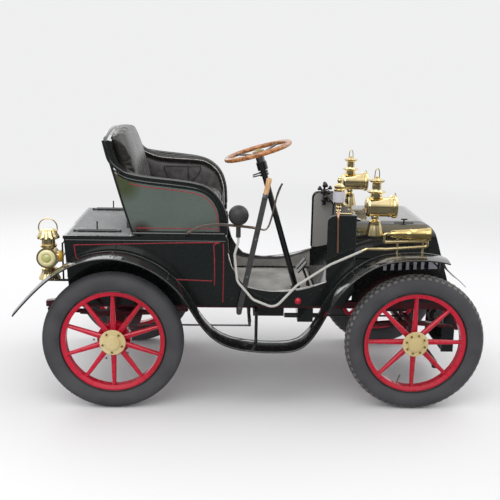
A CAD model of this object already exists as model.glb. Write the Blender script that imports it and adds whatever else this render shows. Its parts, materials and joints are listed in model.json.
"""Looks of a two-seat brass era car: paint, leather, brass, tyres, trim and the studio it stands in."""
from __future__ import annotations

import json
import logging
import math
from dataclasses import dataclass, field
from enum import Enum
from typing import ClassVar, Iterable, Sequence

import bmesh
import bpy
from mathutils import Matrix, Vector, noise

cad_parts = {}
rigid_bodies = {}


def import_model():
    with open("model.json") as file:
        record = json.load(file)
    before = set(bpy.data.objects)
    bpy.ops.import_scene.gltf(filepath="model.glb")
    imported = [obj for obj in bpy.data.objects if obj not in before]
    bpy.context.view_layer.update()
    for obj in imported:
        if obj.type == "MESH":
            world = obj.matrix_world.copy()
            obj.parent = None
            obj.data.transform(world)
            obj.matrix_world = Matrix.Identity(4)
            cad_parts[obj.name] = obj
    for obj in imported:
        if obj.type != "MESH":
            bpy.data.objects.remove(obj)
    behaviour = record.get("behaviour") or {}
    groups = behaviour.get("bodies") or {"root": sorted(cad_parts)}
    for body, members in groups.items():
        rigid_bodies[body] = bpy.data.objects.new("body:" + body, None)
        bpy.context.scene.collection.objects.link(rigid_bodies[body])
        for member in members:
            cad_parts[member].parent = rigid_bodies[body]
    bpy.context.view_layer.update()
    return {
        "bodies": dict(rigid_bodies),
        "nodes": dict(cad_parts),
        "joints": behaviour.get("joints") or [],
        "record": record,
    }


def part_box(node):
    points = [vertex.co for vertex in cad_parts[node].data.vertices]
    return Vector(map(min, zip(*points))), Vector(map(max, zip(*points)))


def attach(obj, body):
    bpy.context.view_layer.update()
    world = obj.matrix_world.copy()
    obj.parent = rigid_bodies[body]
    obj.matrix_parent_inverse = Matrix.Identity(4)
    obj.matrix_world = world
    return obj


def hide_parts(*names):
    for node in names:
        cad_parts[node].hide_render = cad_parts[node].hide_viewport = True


log = logging.getLogger("car")

Point = tuple[float, float, float]
Pair = tuple[float, float]
Colour = tuple[float, float, float]

SIDES = ((-1, "right"), (1, "left"))
UP, NEAR, AHEAD = Vector((0.0, 0.0, 1.0)), Vector((0.0, -1.0, 0.0)), Vector((1.0, 0.0, 0.0))


class NodeTree:
    """A small hand for wiring a material or world."""

    def __init__(self, tree: bpy.types.NodeTree) -> None:
        """Empty the tree and keep it."""
        self.tree = tree
        tree.nodes.clear()

    def node(self, kind: str, settings: dict | None = None, **sockets: object) -> bpy.types.Node:
        """Add a node.

        Args:
            kind: Blender's name of the node type.
            settings: attributes of the node.
            **sockets: values or output sockets for its inputs, by name with _ for a space.

        Returns:
            The new node.
        """
        made = self.tree.nodes.new(kind)
        for name, value in (settings or {}).items():
            setattr(made, name, value)
        for name, value in sockets.items():
            socket = made.inputs[name.replace("_", " ")]
            if isinstance(value, bpy.types.NodeSocket):
                self.tree.links.new(value, socket)
            else:
                socket.default_value = value
        return made

    def link(self, source: bpy.types.NodeSocket, target: bpy.types.NodeSocket) -> None:
        """Join an output to an input."""
        self.tree.links.new(source, target)

    def place(self, scale: Point = (1.0, 1.0, 1.0)) -> bpy.types.NodeSocket:
        """Coordinates of the object itself.

        Args:
            scale: stretch of the coordinates along each axis.

        Returns:
            The vector output.
        """
        spot = self.node("ShaderNodeTexCoord").outputs["Object"]
        return self.node("ShaderNodeMapping", Vector=spot, Scale=scale).outputs["Vector"]

    def speckle(self, spot: bpy.types.NodeSocket, scale: float, detail: float = 4.0) -> bpy.types.NodeSocket:
        """A noise value over the surface.

        Args:
            spot: where the noise is read.
            scale: cells per metre.
            detail: octaves.

        Returns:
            The noise output, about 0.5 on average.
        """
        return self.node("ShaderNodeTexNoise", Vector=spot, Scale=scale, Detail=detail).outputs["Fac"]

    def spread(self, value: bpy.types.NodeSocket, low: float, high: float, start: float = 0.35,
               end: float = 0.65) -> bpy.types.NodeSocket:
        """Map a noise value onto a range.

        Args:
            value: the noise.
            low: result at and under start.
            high: result at and over end.
            start: noise value where the change starts.
            end: noise value where it ends.

        Returns:
            The mapped value.
        """
        ranged = self.node("ShaderNodeMapRange", Value=value)
        for name, number in (("From Min", start), ("From Max", end), ("To Min", low), ("To Max", high)):
            ranged.inputs[name].default_value = number
        return ranged.outputs["Result"]

    def blend(self, share: bpy.types.NodeSocket, first: Colour, second: Colour) -> bpy.types.NodeSocket:
        """Mix two colours.

        Args:
            share: 0 for the first, 1 for the second.
            first: linear colour.
            second: linear colour.

        Returns:
            The colour output.
        """
        mixed = self.node("ShaderNodeMix", {"data_type": "RGBA"})
        self.link(share, mixed.inputs["Factor"])
        mixed.inputs[6].default_value = (*first, 1.0)
        mixed.inputs[7].default_value = (*second, 1.0)
        return mixed.outputs[2]

    def stain(self, under: bpy.types.NodeSocket, patch: "Patch") -> bpy.types.NodeSocket:
        """Lay a soft patch over a colour.

        Args:
            under: the colour so far.
            patch: where it lies, from the rear axle and the ground, and its colour.

        Returns:
            The colour output.
        """
        x, z = patch.middle
        shifted = self.node("ShaderNodeVectorMath", {"operation": "MULTIPLY_ADD"})
        self.link(self.place(), shifted.inputs[0])
        shifted.inputs[1].default_value = (1.0, 0.0, 1.0)
        shifted.inputs[2].default_value = (-(Car.REAR_X + x), 0.0, -z)
        away = self.node("ShaderNodeVectorMath", {"operation": "LENGTH"})
        self.link(shifted.outputs[0], away.inputs[0])
        share = self.spread(away.outputs["Value"], 1.0, 0.0, patch.radius * 0.35, patch.radius)
        mixed = self.node("ShaderNodeMix", {"data_type": "RGBA"})
        self.link(share, mixed.inputs["Factor"])
        self.link(under, mixed.inputs[6])
        mixed.inputs[7].default_value = (*patch.colour, 1.0)
        return mixed.outputs[2]

    def mix(self, share: bpy.types.NodeSocket, first: bpy.types.Node,
            second: bpy.types.Node) -> bpy.types.Node:
        """Mix two shaders.

        Args:
            share: 0 for the first, 1 for the second.
            first: shader node.
            second: shader node.

        Returns:
            The mixing node.
        """
        mixed = self.node("ShaderNodeMixShader", Fac=share)
        for source, target in ((first, 1), (second, 2)):
            self.link(source.outputs[0], mixed.inputs[target])
        return mixed

    def bump(self, height: bpy.types.NodeSocket, strength: float, distance: float,
             under: bpy.types.NodeSocket | None = None) -> bpy.types.NodeSocket:
        """Turn a height into a normal.

        Args:
            height: the height value.
            strength: 0 to 1.
            distance: metres of height.
            under: a normal that this one adds to.

        Returns:
            The normal output.
        """
        made = self.node("ShaderNodeBump", Height=height, Strength=strength, Distance=distance)
        if under is not None:
            self.link(under, made.inputs["Normal"])
        return made.outputs["Normal"]


@dataclass(frozen=True)
class Finish:
    """What every finish has: a name, a colour and a roughness."""

    name: str
    colour: Colour
    roughness: float = 0.5

    def material(self) -> bpy.types.Material:
        """The finish as a material, made once.

        Returns:
            The material.
        """
        name = f"finish_{self.name}"
        found = bpy.data.materials.get(name)
        if found is not None:
            return found
        made = bpy.data.materials.new(name)
        made.use_nodes = True
        tree = NodeTree(made.node_tree)
        output = tree.node("ShaderNodeOutputMaterial")
        shader = tree.node("ShaderNodeBsdfPrincipled")
        shader.inputs["Base Color"].default_value = (*self.colour, 1.0)
        shader.inputs["Roughness"].default_value = self.roughness
        tree.link(shader.outputs["BSDF"], output.inputs["Surface"])
        made.diffuse_color = (*self.colour, 1.0)
        self.dress(tree, shader)
        return made

    def dress(self, tree: NodeTree, shader: bpy.types.Node) -> None:
        """Wire what sets this finish apart.

        Args:
            tree: the material's nodes.
            shader: its shader.
        """


@dataclass(frozen=True)
class Patch:
    """A soft patch of another colour, as seen from the side."""

    middle: Pair
    radius: float
    colour: Colour


@dataclass(frozen=True)
class Paint(Finish):
    """Hand-rubbed coach paint under varnish."""

    second: Colour = (0.0, 0.0, 0.0)
    coat: float = 1.0
    coat_ior: float = 1.5
    peel: float = 0.10
    patches: tuple[Patch, ...] = ()

    def dress(self, tree: NodeTree, shader: bpy.types.Node) -> None:
        """Vary the colour and the gloss a little, and ripple the varnish.

        Args:
            tree: the material's nodes.
            shader: its shader.
        """
        spot = tree.place()
        cloud = tree.speckle(spot, 3.0, 5.0)
        colour = tree.blend(tree.spread(cloud, 0.0, 1.0), self.colour, self.second)
        for patch in self.patches:
            colour = tree.stain(colour, patch)
        tree.link(colour, shader.inputs["Base Color"])
        dust = tree.speckle(spot, 40.0, 6.0)
        tree.link(tree.spread(dust, self.roughness * 0.8, self.roughness * 1.35), shader.inputs["Roughness"])
        ripple = tree.speckle(spot, 55.0, 2.0)
        tree.link(tree.bump(ripple, self.peel, 0.0006), shader.inputs["Normal"])
        shader.inputs["Coat Weight"].default_value = self.coat
        shader.inputs["Coat Roughness"].default_value = 0.04
        shader.inputs["Coat IOR"].default_value = self.coat_ior


@dataclass(frozen=True)
class Metal(Finish):
    """Polished or dull metal with a tarnish that gathers in patches."""

    tarnish: Colour = (0.1, 0.08, 0.05)
    tarnish_share: float = 0.25
    brushing: float = 0.05

    def dress(self, tree: NodeTree, shader: bpy.types.Node) -> None:
        """Wire tarnish, polish marks and an uneven roughness.

        Args:
            tree: the material's nodes.
            shader: its shader.
        """
        spot = tree.place()
        cloud = tree.speckle(spot, 22.0, 8.0)
        share = tree.spread(cloud, 0.0, self.tarnish_share, 0.42, 0.75)
        tree.link(tree.blend(share, self.colour, self.tarnish), shader.inputs["Base Color"])
        rough = tree.spread(cloud, self.roughness, self.roughness * 1.9, 0.4, 0.75)
        tree.link(rough, shader.inputs["Roughness"])
        fine = tree.speckle(tree.place((1.0, 1.0, 8.0)), 320.0, 3.0)
        tree.link(tree.bump(fine, self.brushing, 0.0004), shader.inputs["Normal"])
        shader.inputs["Metallic"].default_value = 1.0


@dataclass(frozen=True)
class Hide(Finish):
    """Grained leather with a soft polish on its raised grain."""

    grain: float = 420.0
    relief: float = 0.35

    def dress(self, tree: NodeTree, shader: bpy.types.Node) -> None:
        """Wire the pebble grain, the creases and the worn polish.

        Args:
            tree: the material's nodes.
            shader: its shader.
        """
        spot = tree.place()
        cells = tree.node("ShaderNodeTexVoronoi", {"feature": "F1"}, Vector=spot, Scale=self.grain)
        crease = tree.speckle(spot, 28.0, 9.0)
        worn = tuple(min(1.0, part * 1.9 + 0.006) for part in self.colour)
        tree.link(tree.blend(tree.spread(crease, 0.0, 1.0), self.colour, worn), shader.inputs["Base Color"])
        rough = tree.spread(crease, self.roughness * 0.85, self.roughness * 1.2)
        tree.link(rough, shader.inputs["Roughness"])
        first = tree.bump(crease, 0.25, 0.0020)
        tree.link(tree.bump(cells.outputs["Distance"], self.relief, 0.0005, first), shader.inputs["Normal"])
        shader.inputs["Sheen Weight"].default_value = 0.12
        shader.inputs["Sheen Roughness"].default_value = 0.4


@dataclass(frozen=True)
class Rubber(Finish):
    """Old grey-black rubber, chalky where it is dry."""

    chalk: Colour = (0.16, 0.155, 0.15)

    def dress(self, tree: NodeTree, shader: bpy.types.Node) -> None:
        """Wire the chalky bloom and the cast skin.

        Args:
            tree: the material's nodes.
            shader: its shader.
        """
        spot = tree.place()
        bloom = tree.speckle(spot, 9.0, 10.0)
        colour = tree.blend(tree.spread(bloom, 0.0, 0.45), self.colour, self.chalk)
        tree.link(colour, shader.inputs["Base Color"])
        rough = tree.spread(bloom, self.roughness, min(1.0, self.roughness * 1.3))
        tree.link(rough, shader.inputs["Roughness"])
        skin = tree.speckle(spot, 500.0, 3.0)
        tree.link(tree.bump(skin, 0.2, 0.0004), shader.inputs["Normal"])


@dataclass(frozen=True)
class Timber(Finish):
    """Varnished wood with its grain along one axis."""

    dark: Colour = (0.12, 0.035, 0.01)
    along: Point = (1.0, 12.0, 12.0)

    def dress(self, tree: NodeTree, shader: bpy.types.Node) -> None:
        """Wire the grain and its pores.

        Args:
            tree: the material's nodes.
            shader: its shader.
        """
        grain = tree.speckle(tree.place(self.along), 14.0, 8.0)
        colour = tree.blend(tree.spread(grain, 0.0, 1.0, 0.4, 0.66), self.colour, self.dark)
        tree.link(colour, shader.inputs["Base Color"])
        tree.link(tree.bump(grain, 0.12, 0.0005), shader.inputs["Normal"])
        shader.inputs["Coat Weight"].default_value = 0.8
        shader.inputs["Coat Roughness"].default_value = 0.08


@dataclass(frozen=True)
class Weave(Finish):
    """A coarse floor mat."""

    pitch: float = 260.0

    def dress(self, tree: NodeTree, shader: bpy.types.Node) -> None:
        """Wire two crossing waves as warp and weft.

        Args:
            tree: the material's nodes.
            shader: its shader.
        """
        spot = tree.place()
        warp, weft = (
            tree.node(
                "ShaderNodeTexWave", {"bands_direction": axis}, Vector=spot, Scale=self.pitch,
            ).outputs["Fac"]
            for axis in ("X", "Y")
        )
        height = tree.node("ShaderNodeMath", {"operation": "MULTIPLY"})
        tree.link(warp, height.inputs[0])
        tree.link(weft, height.inputs[1])
        soil = tree.speckle(spot, 8.0, 8.0)
        dark = tuple(part * 0.6 for part in self.colour)
        tree.link(tree.blend(tree.spread(soil, 0.0, 1.0), self.colour, dark), shader.inputs["Base Color"])
        tree.link(tree.bump(height.outputs[0], 0.5, 0.0010), shader.inputs["Normal"])


@dataclass(frozen=True)
class Glass(Finish):
    """Clear glass with a seeded surface, in the colour given."""

    def dress(self, tree: NodeTree, shader: bpy.types.Node) -> None:
        """Make it clear and wavy.

        Args:
            tree: the material's nodes.
            shader: its shader.
        """
        shader.inputs["Transmission Weight"].default_value = 0.9
        shader.inputs["IOR"].default_value = 1.45
        wave = tree.speckle(tree.place(), 60.0, 2.0)
        tree.link(tree.bump(wave, 0.15, 0.0008), shader.inputs["Normal"])


class Palette(Enum):
    """The finishes on this car."""

    RED = Paint("wheel_red", (0.56, 0.004, 0.032), 0.3, second=(0.44, 0.003, 0.020), coat_ior=1.4)
    LINE_RED = Paint("coach_line_red", (0.33, 0.010, 0.022), 0.4, second=(0.26, 0.008, 0.016), coat=0.6)
    FRAME_RED = Paint("frame_red", (0.10, 0.006, 0.012), 0.45, second=(0.06, 0.004, 0.008), coat=0.5)
    BLACK = Paint("fender_black", (0.005, 0.006, 0.006), 0.22, second=(0.007, 0.008, 0.008), coat_ior=1.6)
    COACH = Paint("coachwork_dark_green", (0.004, 0.007, 0.006), 0.25, second=(0.006, 0.009, 0.008))
    PANEL = Paint(
        "coachwork_panel_green", (0.100, 0.125, 0.108), 0.3, second=(0.085, 0.110, 0.093), coat_ior=1.5,
        patches=(
            Patch((-0.015, 1.265), 0.13, (0.085, 0.050, 0.022)),
            Patch((0.06, 1.21), 0.10, (0.050, 0.065, 0.024)),
            Patch((0.145, 0.955), 0.075, (0.030, 0.014, 0.012)),
        ),
    )
    LOUVRE_PANEL = Paint("louvre_panel", (0.34, 0.34, 0.40), 0.3, second=(0.26, 0.27, 0.34), coat_ior=1.5)
    OLIVE = Paint("shoulder_olive", (0.085, 0.066, 0.014), 0.3, second=(0.060, 0.046, 0.010), coat_ior=1.5)
    PALE_LINING = Paint("pale_lining", (0.36, 0.35, 0.335), 0.55, second=(0.31, 0.30, 0.29), coat=0.2)
    IRON_BLACK = Paint("ironwork_black", (0.012, 0.012, 0.012), 0.4, second=(0.02, 0.018, 0.016), coat=0.4)
    DARK_STEEL = Metal("dark_steel", (0.10, 0.10, 0.10), 0.4, tarnish=(0.04, 0.035, 0.03), tarnish_share=0.7)
    CAP_BRASS = Paint("cap_brass", (0.66, 0.54, 0.28), 0.3, second=(0.56, 0.43, 0.19), coat_ior=1.5)
    PALE_BRASS = Paint("pale_brass", (0.80, 0.74, 0.42), 0.3, second=(0.70, 0.62, 0.30), coat_ior=1.5)
    BRASS = Metal("polished_brass", (0.90, 0.75, 0.42), 0.13, tarnish=(0.48, 0.33, 0.13), tarnish_share=0.45)
    DULL_BRASS = Metal("dull_brass", (0.52, 0.40, 0.19), 0.28, tarnish=(0.16, 0.11, 0.05), tarnish_share=0.6)
    COPPER = Metal("copper_pipe", (0.82, 0.46, 0.33), 0.22, tarnish=(0.25, 0.12, 0.08), tarnish_share=0.5)
    TAN_STEEL = Metal("tan_steel", (0.46, 0.38, 0.33), 0.35, tarnish=(0.22, 0.16, 0.13), tarnish_share=0.6)
    STEEL = Metal("bright_steel", (0.50, 0.50, 0.49), 0.28, tarnish=(0.16, 0.14, 0.12), tarnish_share=0.5)
    GREY_STEEL = Metal("dull_steel", (0.22, 0.22, 0.22), 0.42, tarnish=(0.08, 0.07, 0.06), tarnish_share=0.6)
    IRON = Paint("cast_iron", (0.035, 0.034, 0.033), 0.62, second=(0.055, 0.045, 0.038), coat=0.0)
    LEATHER = Hide("seat_leather", (0.014, 0.013, 0.012), 0.27, relief=0.18)
    LINING = Hide("lining_leather", (0.050, 0.045, 0.046), 0.40, grain=520.0)
    PIPING = Hide("leather_piping", (0.02, 0.018, 0.017), 0.35, grain=700.0)
    TYRE = Rubber("tyre_rubber", (0.048, 0.048, 0.053), 0.68, chalk=(0.088, 0.088, 0.093))
    TREAD = Rubber("tread_rubber", (0.130, 0.123, 0.112), 0.75, chalk=(0.24, 0.23, 0.21))
    BULB = Rubber("bulb_rubber", (0.022, 0.021, 0.022), 0.42, chalk=(0.05, 0.05, 0.05))
    WOOD = Timber("varnished_rim", (0.55, 0.22, 0.06), 0.3)
    GRIP = Timber("boxwood_grip", (0.72, 0.44, 0.22), 0.35, dark=(0.5, 0.26, 0.10), along=(12.0, 12.0, 1.0))
    HORN_BRASS = Metal("horn_brass", (0.78, 0.60, 0.26), 0.16, tarnish=(0.35, 0.24, 0.09), tarnish_share=0.5)
    HOSE = Rubber("horn_hose", (0.46, 0.45, 0.42), 0.5, chalk=(0.60, 0.58, 0.55))
    APRON = Paint("apron_brown", (0.060, 0.018, 0.014), 0.4, second=(0.035, 0.012, 0.010), coat=0.6)
    AMBER = Paint("amber_lens", (0.80, 0.50, 0.06), 0.2, second=(0.66, 0.36, 0.03), coat_ior=1.5)
    PALE_LENS = Paint("pale_lens", (0.52, 0.52, 0.20), 0.15, second=(0.44, 0.46, 0.18), coat_ior=1.5)
    PALE_PIPING = Hide("pale_piping", (0.42, 0.40, 0.38), 0.4, grain=700.0)
    DECK = Paint("deck_grey", (0.30, 0.305, 0.31), 0.65, second=(0.24, 0.245, 0.25), coat=0.0)
    MAT = Weave("floor_mat", (0.46, 0.445, 0.42), 0.9)
    GLASS = Glass("lamp_glass", (0.95, 0.93, 0.84), 0.06)
    MILK = Paint("milk_glass", (0.62, 0.61, 0.66), 0.15, second=(0.42, 0.42, 0.47), coat_ior=1.5)
    OIL_GLASS = Glass("oil_glass", (0.80, 0.80, 0.78), 0.08)

    def material(self) -> bpy.types.Material:
        """The finish's material."""
        return self.value.material()


@dataclass
class Car:
    """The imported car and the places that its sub-assemblies share, in metres."""

    REAR_X: ClassVar[float] = -0.75375
    frame: dict
    rear_x: float = field(init=False)

    def __post_init__(self) -> None:
        """Read the rear axle's place from the frame."""
        self.rear_x = self.middle("tyre_rear_left").x

    @staticmethod
    def middle(node: str) -> Vector:
        """The middle of a node's box."""
        low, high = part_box(node)
        return (low + high) / 2

    def at(self, x: float, y: float, z: float) -> Vector:
        """A point given from the rear axle, the centre plane and the ground."""
        return Vector((self.rear_x + x, y, z))

    def line(self, points: Iterable[Pair], y: float) -> list[Vector]:
        """Points of a side view, placed at one distance from the centre plane."""
        return [self.at(x, y, z) for x, z in points]


class Shape:
    """A mesh under construction, made of simple worked forms."""

    def __init__(self) -> None:
        """Start with nothing."""
        self.bm = bmesh.new()

    def ring_loft(self, rings: Sequence[Sequence[Vector]], closed: bool = False) -> Shape:
        """Skin a row of rings, and fill the two end rings of an open row.

        Args:
            rings: rings of equally many points.
            closed: join the last ring to the first.

        Returns:
            This shape.
        """
        rows = [[self.bm.verts.new(point) for point in ring] for ring in rings]
        count = len(rows[0])
        for first, second in zip(rows, rows[1:] + (rows[:1] if closed else [])):
            for i in range(count):
                j = (i + 1) % count
                self.bm.faces.new((first[i], first[j], second[j], second[i]))
        if not closed:
            self.bm.faces.new(rows[0][::-1])
            self.bm.faces.new(rows[-1])
        return self

    def lathe(self, centre: Vector, axis: Vector, profile: Sequence[Pair], segments: int = 48,
              closed: bool = False, flutes: tuple[int, float] = (0, 0.0)) -> Shape:
        """Turn a profile about an axis.

        Args:
            centre: a point on the axis, from which heights count.
            axis: direction of the axis.
            profile: (radius, height) pairs from one end to the other.
            segments: steps of the turn.
            closed: the profile is a loop.
            flutes: how many flutes go around, and their depth as a share of the radius.

        Returns:
            This shape.
        """
        turn = axis.normalized().to_track_quat("Z", "X").to_matrix()
        count, depth = flutes
        rings = []
        for radius, height in profile:
            ring = []
            for i in range(segments):
                angle = math.tau * i / segments
                swell = abs(math.cos(angle * count / 2)) - 0.6 if count else 0.0
                size = max(radius, 0.00005) * (1 + depth * swell)
                ring.append(centre + turn @ Vector((size * math.cos(angle), size * math.sin(angle), height)))
            rings.append(ring)
        return self.ring_loft(rings, closed)

    def hoop(self, centre: Vector, axis: Vector, radius: float, wire: float, segments: int = 64,
             sides: int = 8) -> Shape:
        """Add a ring of round wire.

        Args:
            centre: its middle.
            axis: direction across it.
            radius: of the ring.
            wire: radius of the wire.
            segments: steps around the ring.
            sides: sides of the wire.

        Returns:
            This shape.
        """
        loop = [
            (radius + wire * math.cos(math.tau * i / sides), wire * math.sin(math.tau * i / sides))
            for i in range(sides)
        ]
        return self.lathe(centre, axis, loop, segments, closed=True)

    def tube(self, points: Sequence[Vector], radius: float | Sequence[float], sides: int = 12,
             closed: bool = False) -> Shape:
        """Run a round bar along points.

        Args:
            points: the middle line.
            radius: one radius, or one for each point.
            sides: sides of the bar.
            closed: the line is a loop.

        Returns:
            This shape.
        """
        sizes = [radius] * len(points) if isinstance(radius, (int, float)) else list(radius)
        frames = self.frames(points, closed)
        rings = [
            [point + (u * math.cos(math.tau * i / sides) + v * math.sin(math.tau * i / sides)) * size
             for i in range(sides)]
            for point, size, (u, v) in zip(points, sizes, frames)
        ]
        return self.ring_loft(rings, closed)

    @staticmethod
    def frames(points: Sequence[Vector], closed: bool) -> list[tuple[Vector, Vector]]:
        """Two cross axes at each point, carried along without twist.

        Args:
            points: the middle line.
            closed: the line is a loop.

        Returns:
            A pair of axes for each point.
        """
        count = len(points)
        tangents = []
        for i in range(count):
            before = points[(i - 1) % count] if closed or i > 0 else points[0]
            after = points[(i + 1) % count] if closed or i < count - 1 else points[-1]
            tangents.append((after - before).normalized())
        side = tangents[0].orthogonal().normalized()
        pairs = []
        for i, tangent in enumerate(tangents):
            if i:
                side = tangents[i - 1].rotation_difference(tangent) @ side
            side = (side - tangent * side.dot(tangent)).normalized()
            pairs.append((side, tangent.cross(side)))
        return pairs

    def strip(self, points: Sequence[Vector], width: float, lift: Vector, depth: float = 0.001) -> None:
        """Lay a flat strip along points, raised from the surface it lies on.

        Args:
            points: the middle line.
            width: its width.
            lift: direction out of the surface.
            depth: its thickness.
        """
        rings = []
        last = len(points) - 1
        for i, point in enumerate(points):
            along = (points[min(i + 1, last)] - points[max(i - 1, 0)]).normalized()
            cross = along.cross(lift).normalized() * (width / 2)
            out = lift.normalized() * depth
            rings.append([point - cross, point + cross, point + cross * 0.8 + out, point - cross * 0.8 + out])
        self.ring_loft(rings)

    def block(self, centre: Vector, size: Point, turn: Matrix | None = None) -> None:
        """Add a block.

        Args:
            centre: its middle.
            size: its three sizes.
            turn: its rotation.
        """
        made = bmesh.ops.create_cube(self.bm, size=1.0)["verts"]
        for vert in made:
            local = Vector(part * whole for part, whole in zip(vert.co, size))
            vert.co = centre + (turn @ local if turn else local)

    def bolt(self, foot: Vector, axis: Vector, radius: float, height: float) -> None:
        """Add a six-sided bolt head with a domed top.

        Args:
            foot: middle of its underside.
            axis: direction of its top.
            radius: over its corners.
            height: of the head.
        """
        profile = ((radius, 0.0), (radius, height * 0.75), (radius * 0.86, height), (0.0, height * 1.05))
        self.lathe(foot, axis, profile, 6)

    def place(self, name: str, finish: Palette, body: str, slot: str, replaced: Sequence[str] = (),
              smooth: float = 35.0, bevel: float = 0.0) -> bpy.types.Object:
        """Finish the mesh as an object, put it on its body and report it.

        Args:
            name: of the object.
            finish: of its surface.
            body: the body that it rides on.
            slot: the record's material slot.
            replaced: nodes that it stands for.
            smooth: edges under this angle, in degrees, are shaded round.
            bevel: width of a small bevel on the sharp edges.

        Returns:
            The object.
        """
        bmesh.ops.remove_doubles(self.bm, verts=self.bm.verts, dist=0.00002)
        bmesh.ops.recalc_face_normals(self.bm, faces=self.bm.faces)
        if bevel:
            sharp = [e for e in self.bm.edges if e.is_manifold and e.calc_face_angle() > math.radians(smooth)]
            bmesh.ops.bevel(self.bm, geom=sharp, offset=bevel, segments=2, profile=0.6, affect="EDGES")
        mesh = bpy.data.meshes.new(name)
        self.bm.to_mesh(mesh)
        self.bm.free()
        for polygon in mesh.polygons:
            polygon.use_smooth = True
        mesh.set_sharp_from_angle(angle=math.radians(smooth))
        mesh.materials.append(finish.material())
        made = bpy.data.objects.new(name, mesh)
        bpy.context.scene.collection.objects.link(made)
        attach(made, body)
        if replaced:
            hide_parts(*replaced)
        log.info("%s rides on %s", name, body)
        return made


def rounded_square(turn: float) -> Pair:
    """A point on the outline of a square of half size 1 with rounded corners.

    Args:
        turn: its angle from the middle, in radians.

    Returns:
        Its two coordinates.
    """
    c, s = math.cos(turn), math.sin(turn)
    reach = (abs(c) ** 7 + abs(s) ** 7) ** (-1 / 7)
    return c * reach, s * reach


def curve_through(points: Sequence[Vector], steps: int = 10, closed: bool = False) -> list[Vector]:
    """A smooth line through points.

    Args:
        points: points that it passes.
        steps: new points for each stretch.
        closed: join the end to the start.

    Returns:
        The line's points.
    """
    count = len(points)
    made = []
    for i in range(count if closed else count - 1):
        first = points[(i - 1) % count] if closed or i else points[0] * 2 - points[1]
        second, third = points[i], points[(i + 1) % count]
        fourth = points[(i + 2) % count] if closed or i + 2 < count else points[-1] * 2 - points[-2]
        for step in range(steps):
            t = step / steps
            made.append(0.5 * (
                2 * second + (third - first) * t + (2 * first - 5 * second + 4 * third - fourth) * t * t
                + (3 * second - first - 3 * third + fourth) * t ** 3
            ))
    if not closed:
        made.append(points[-1].copy())
    return made


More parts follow.
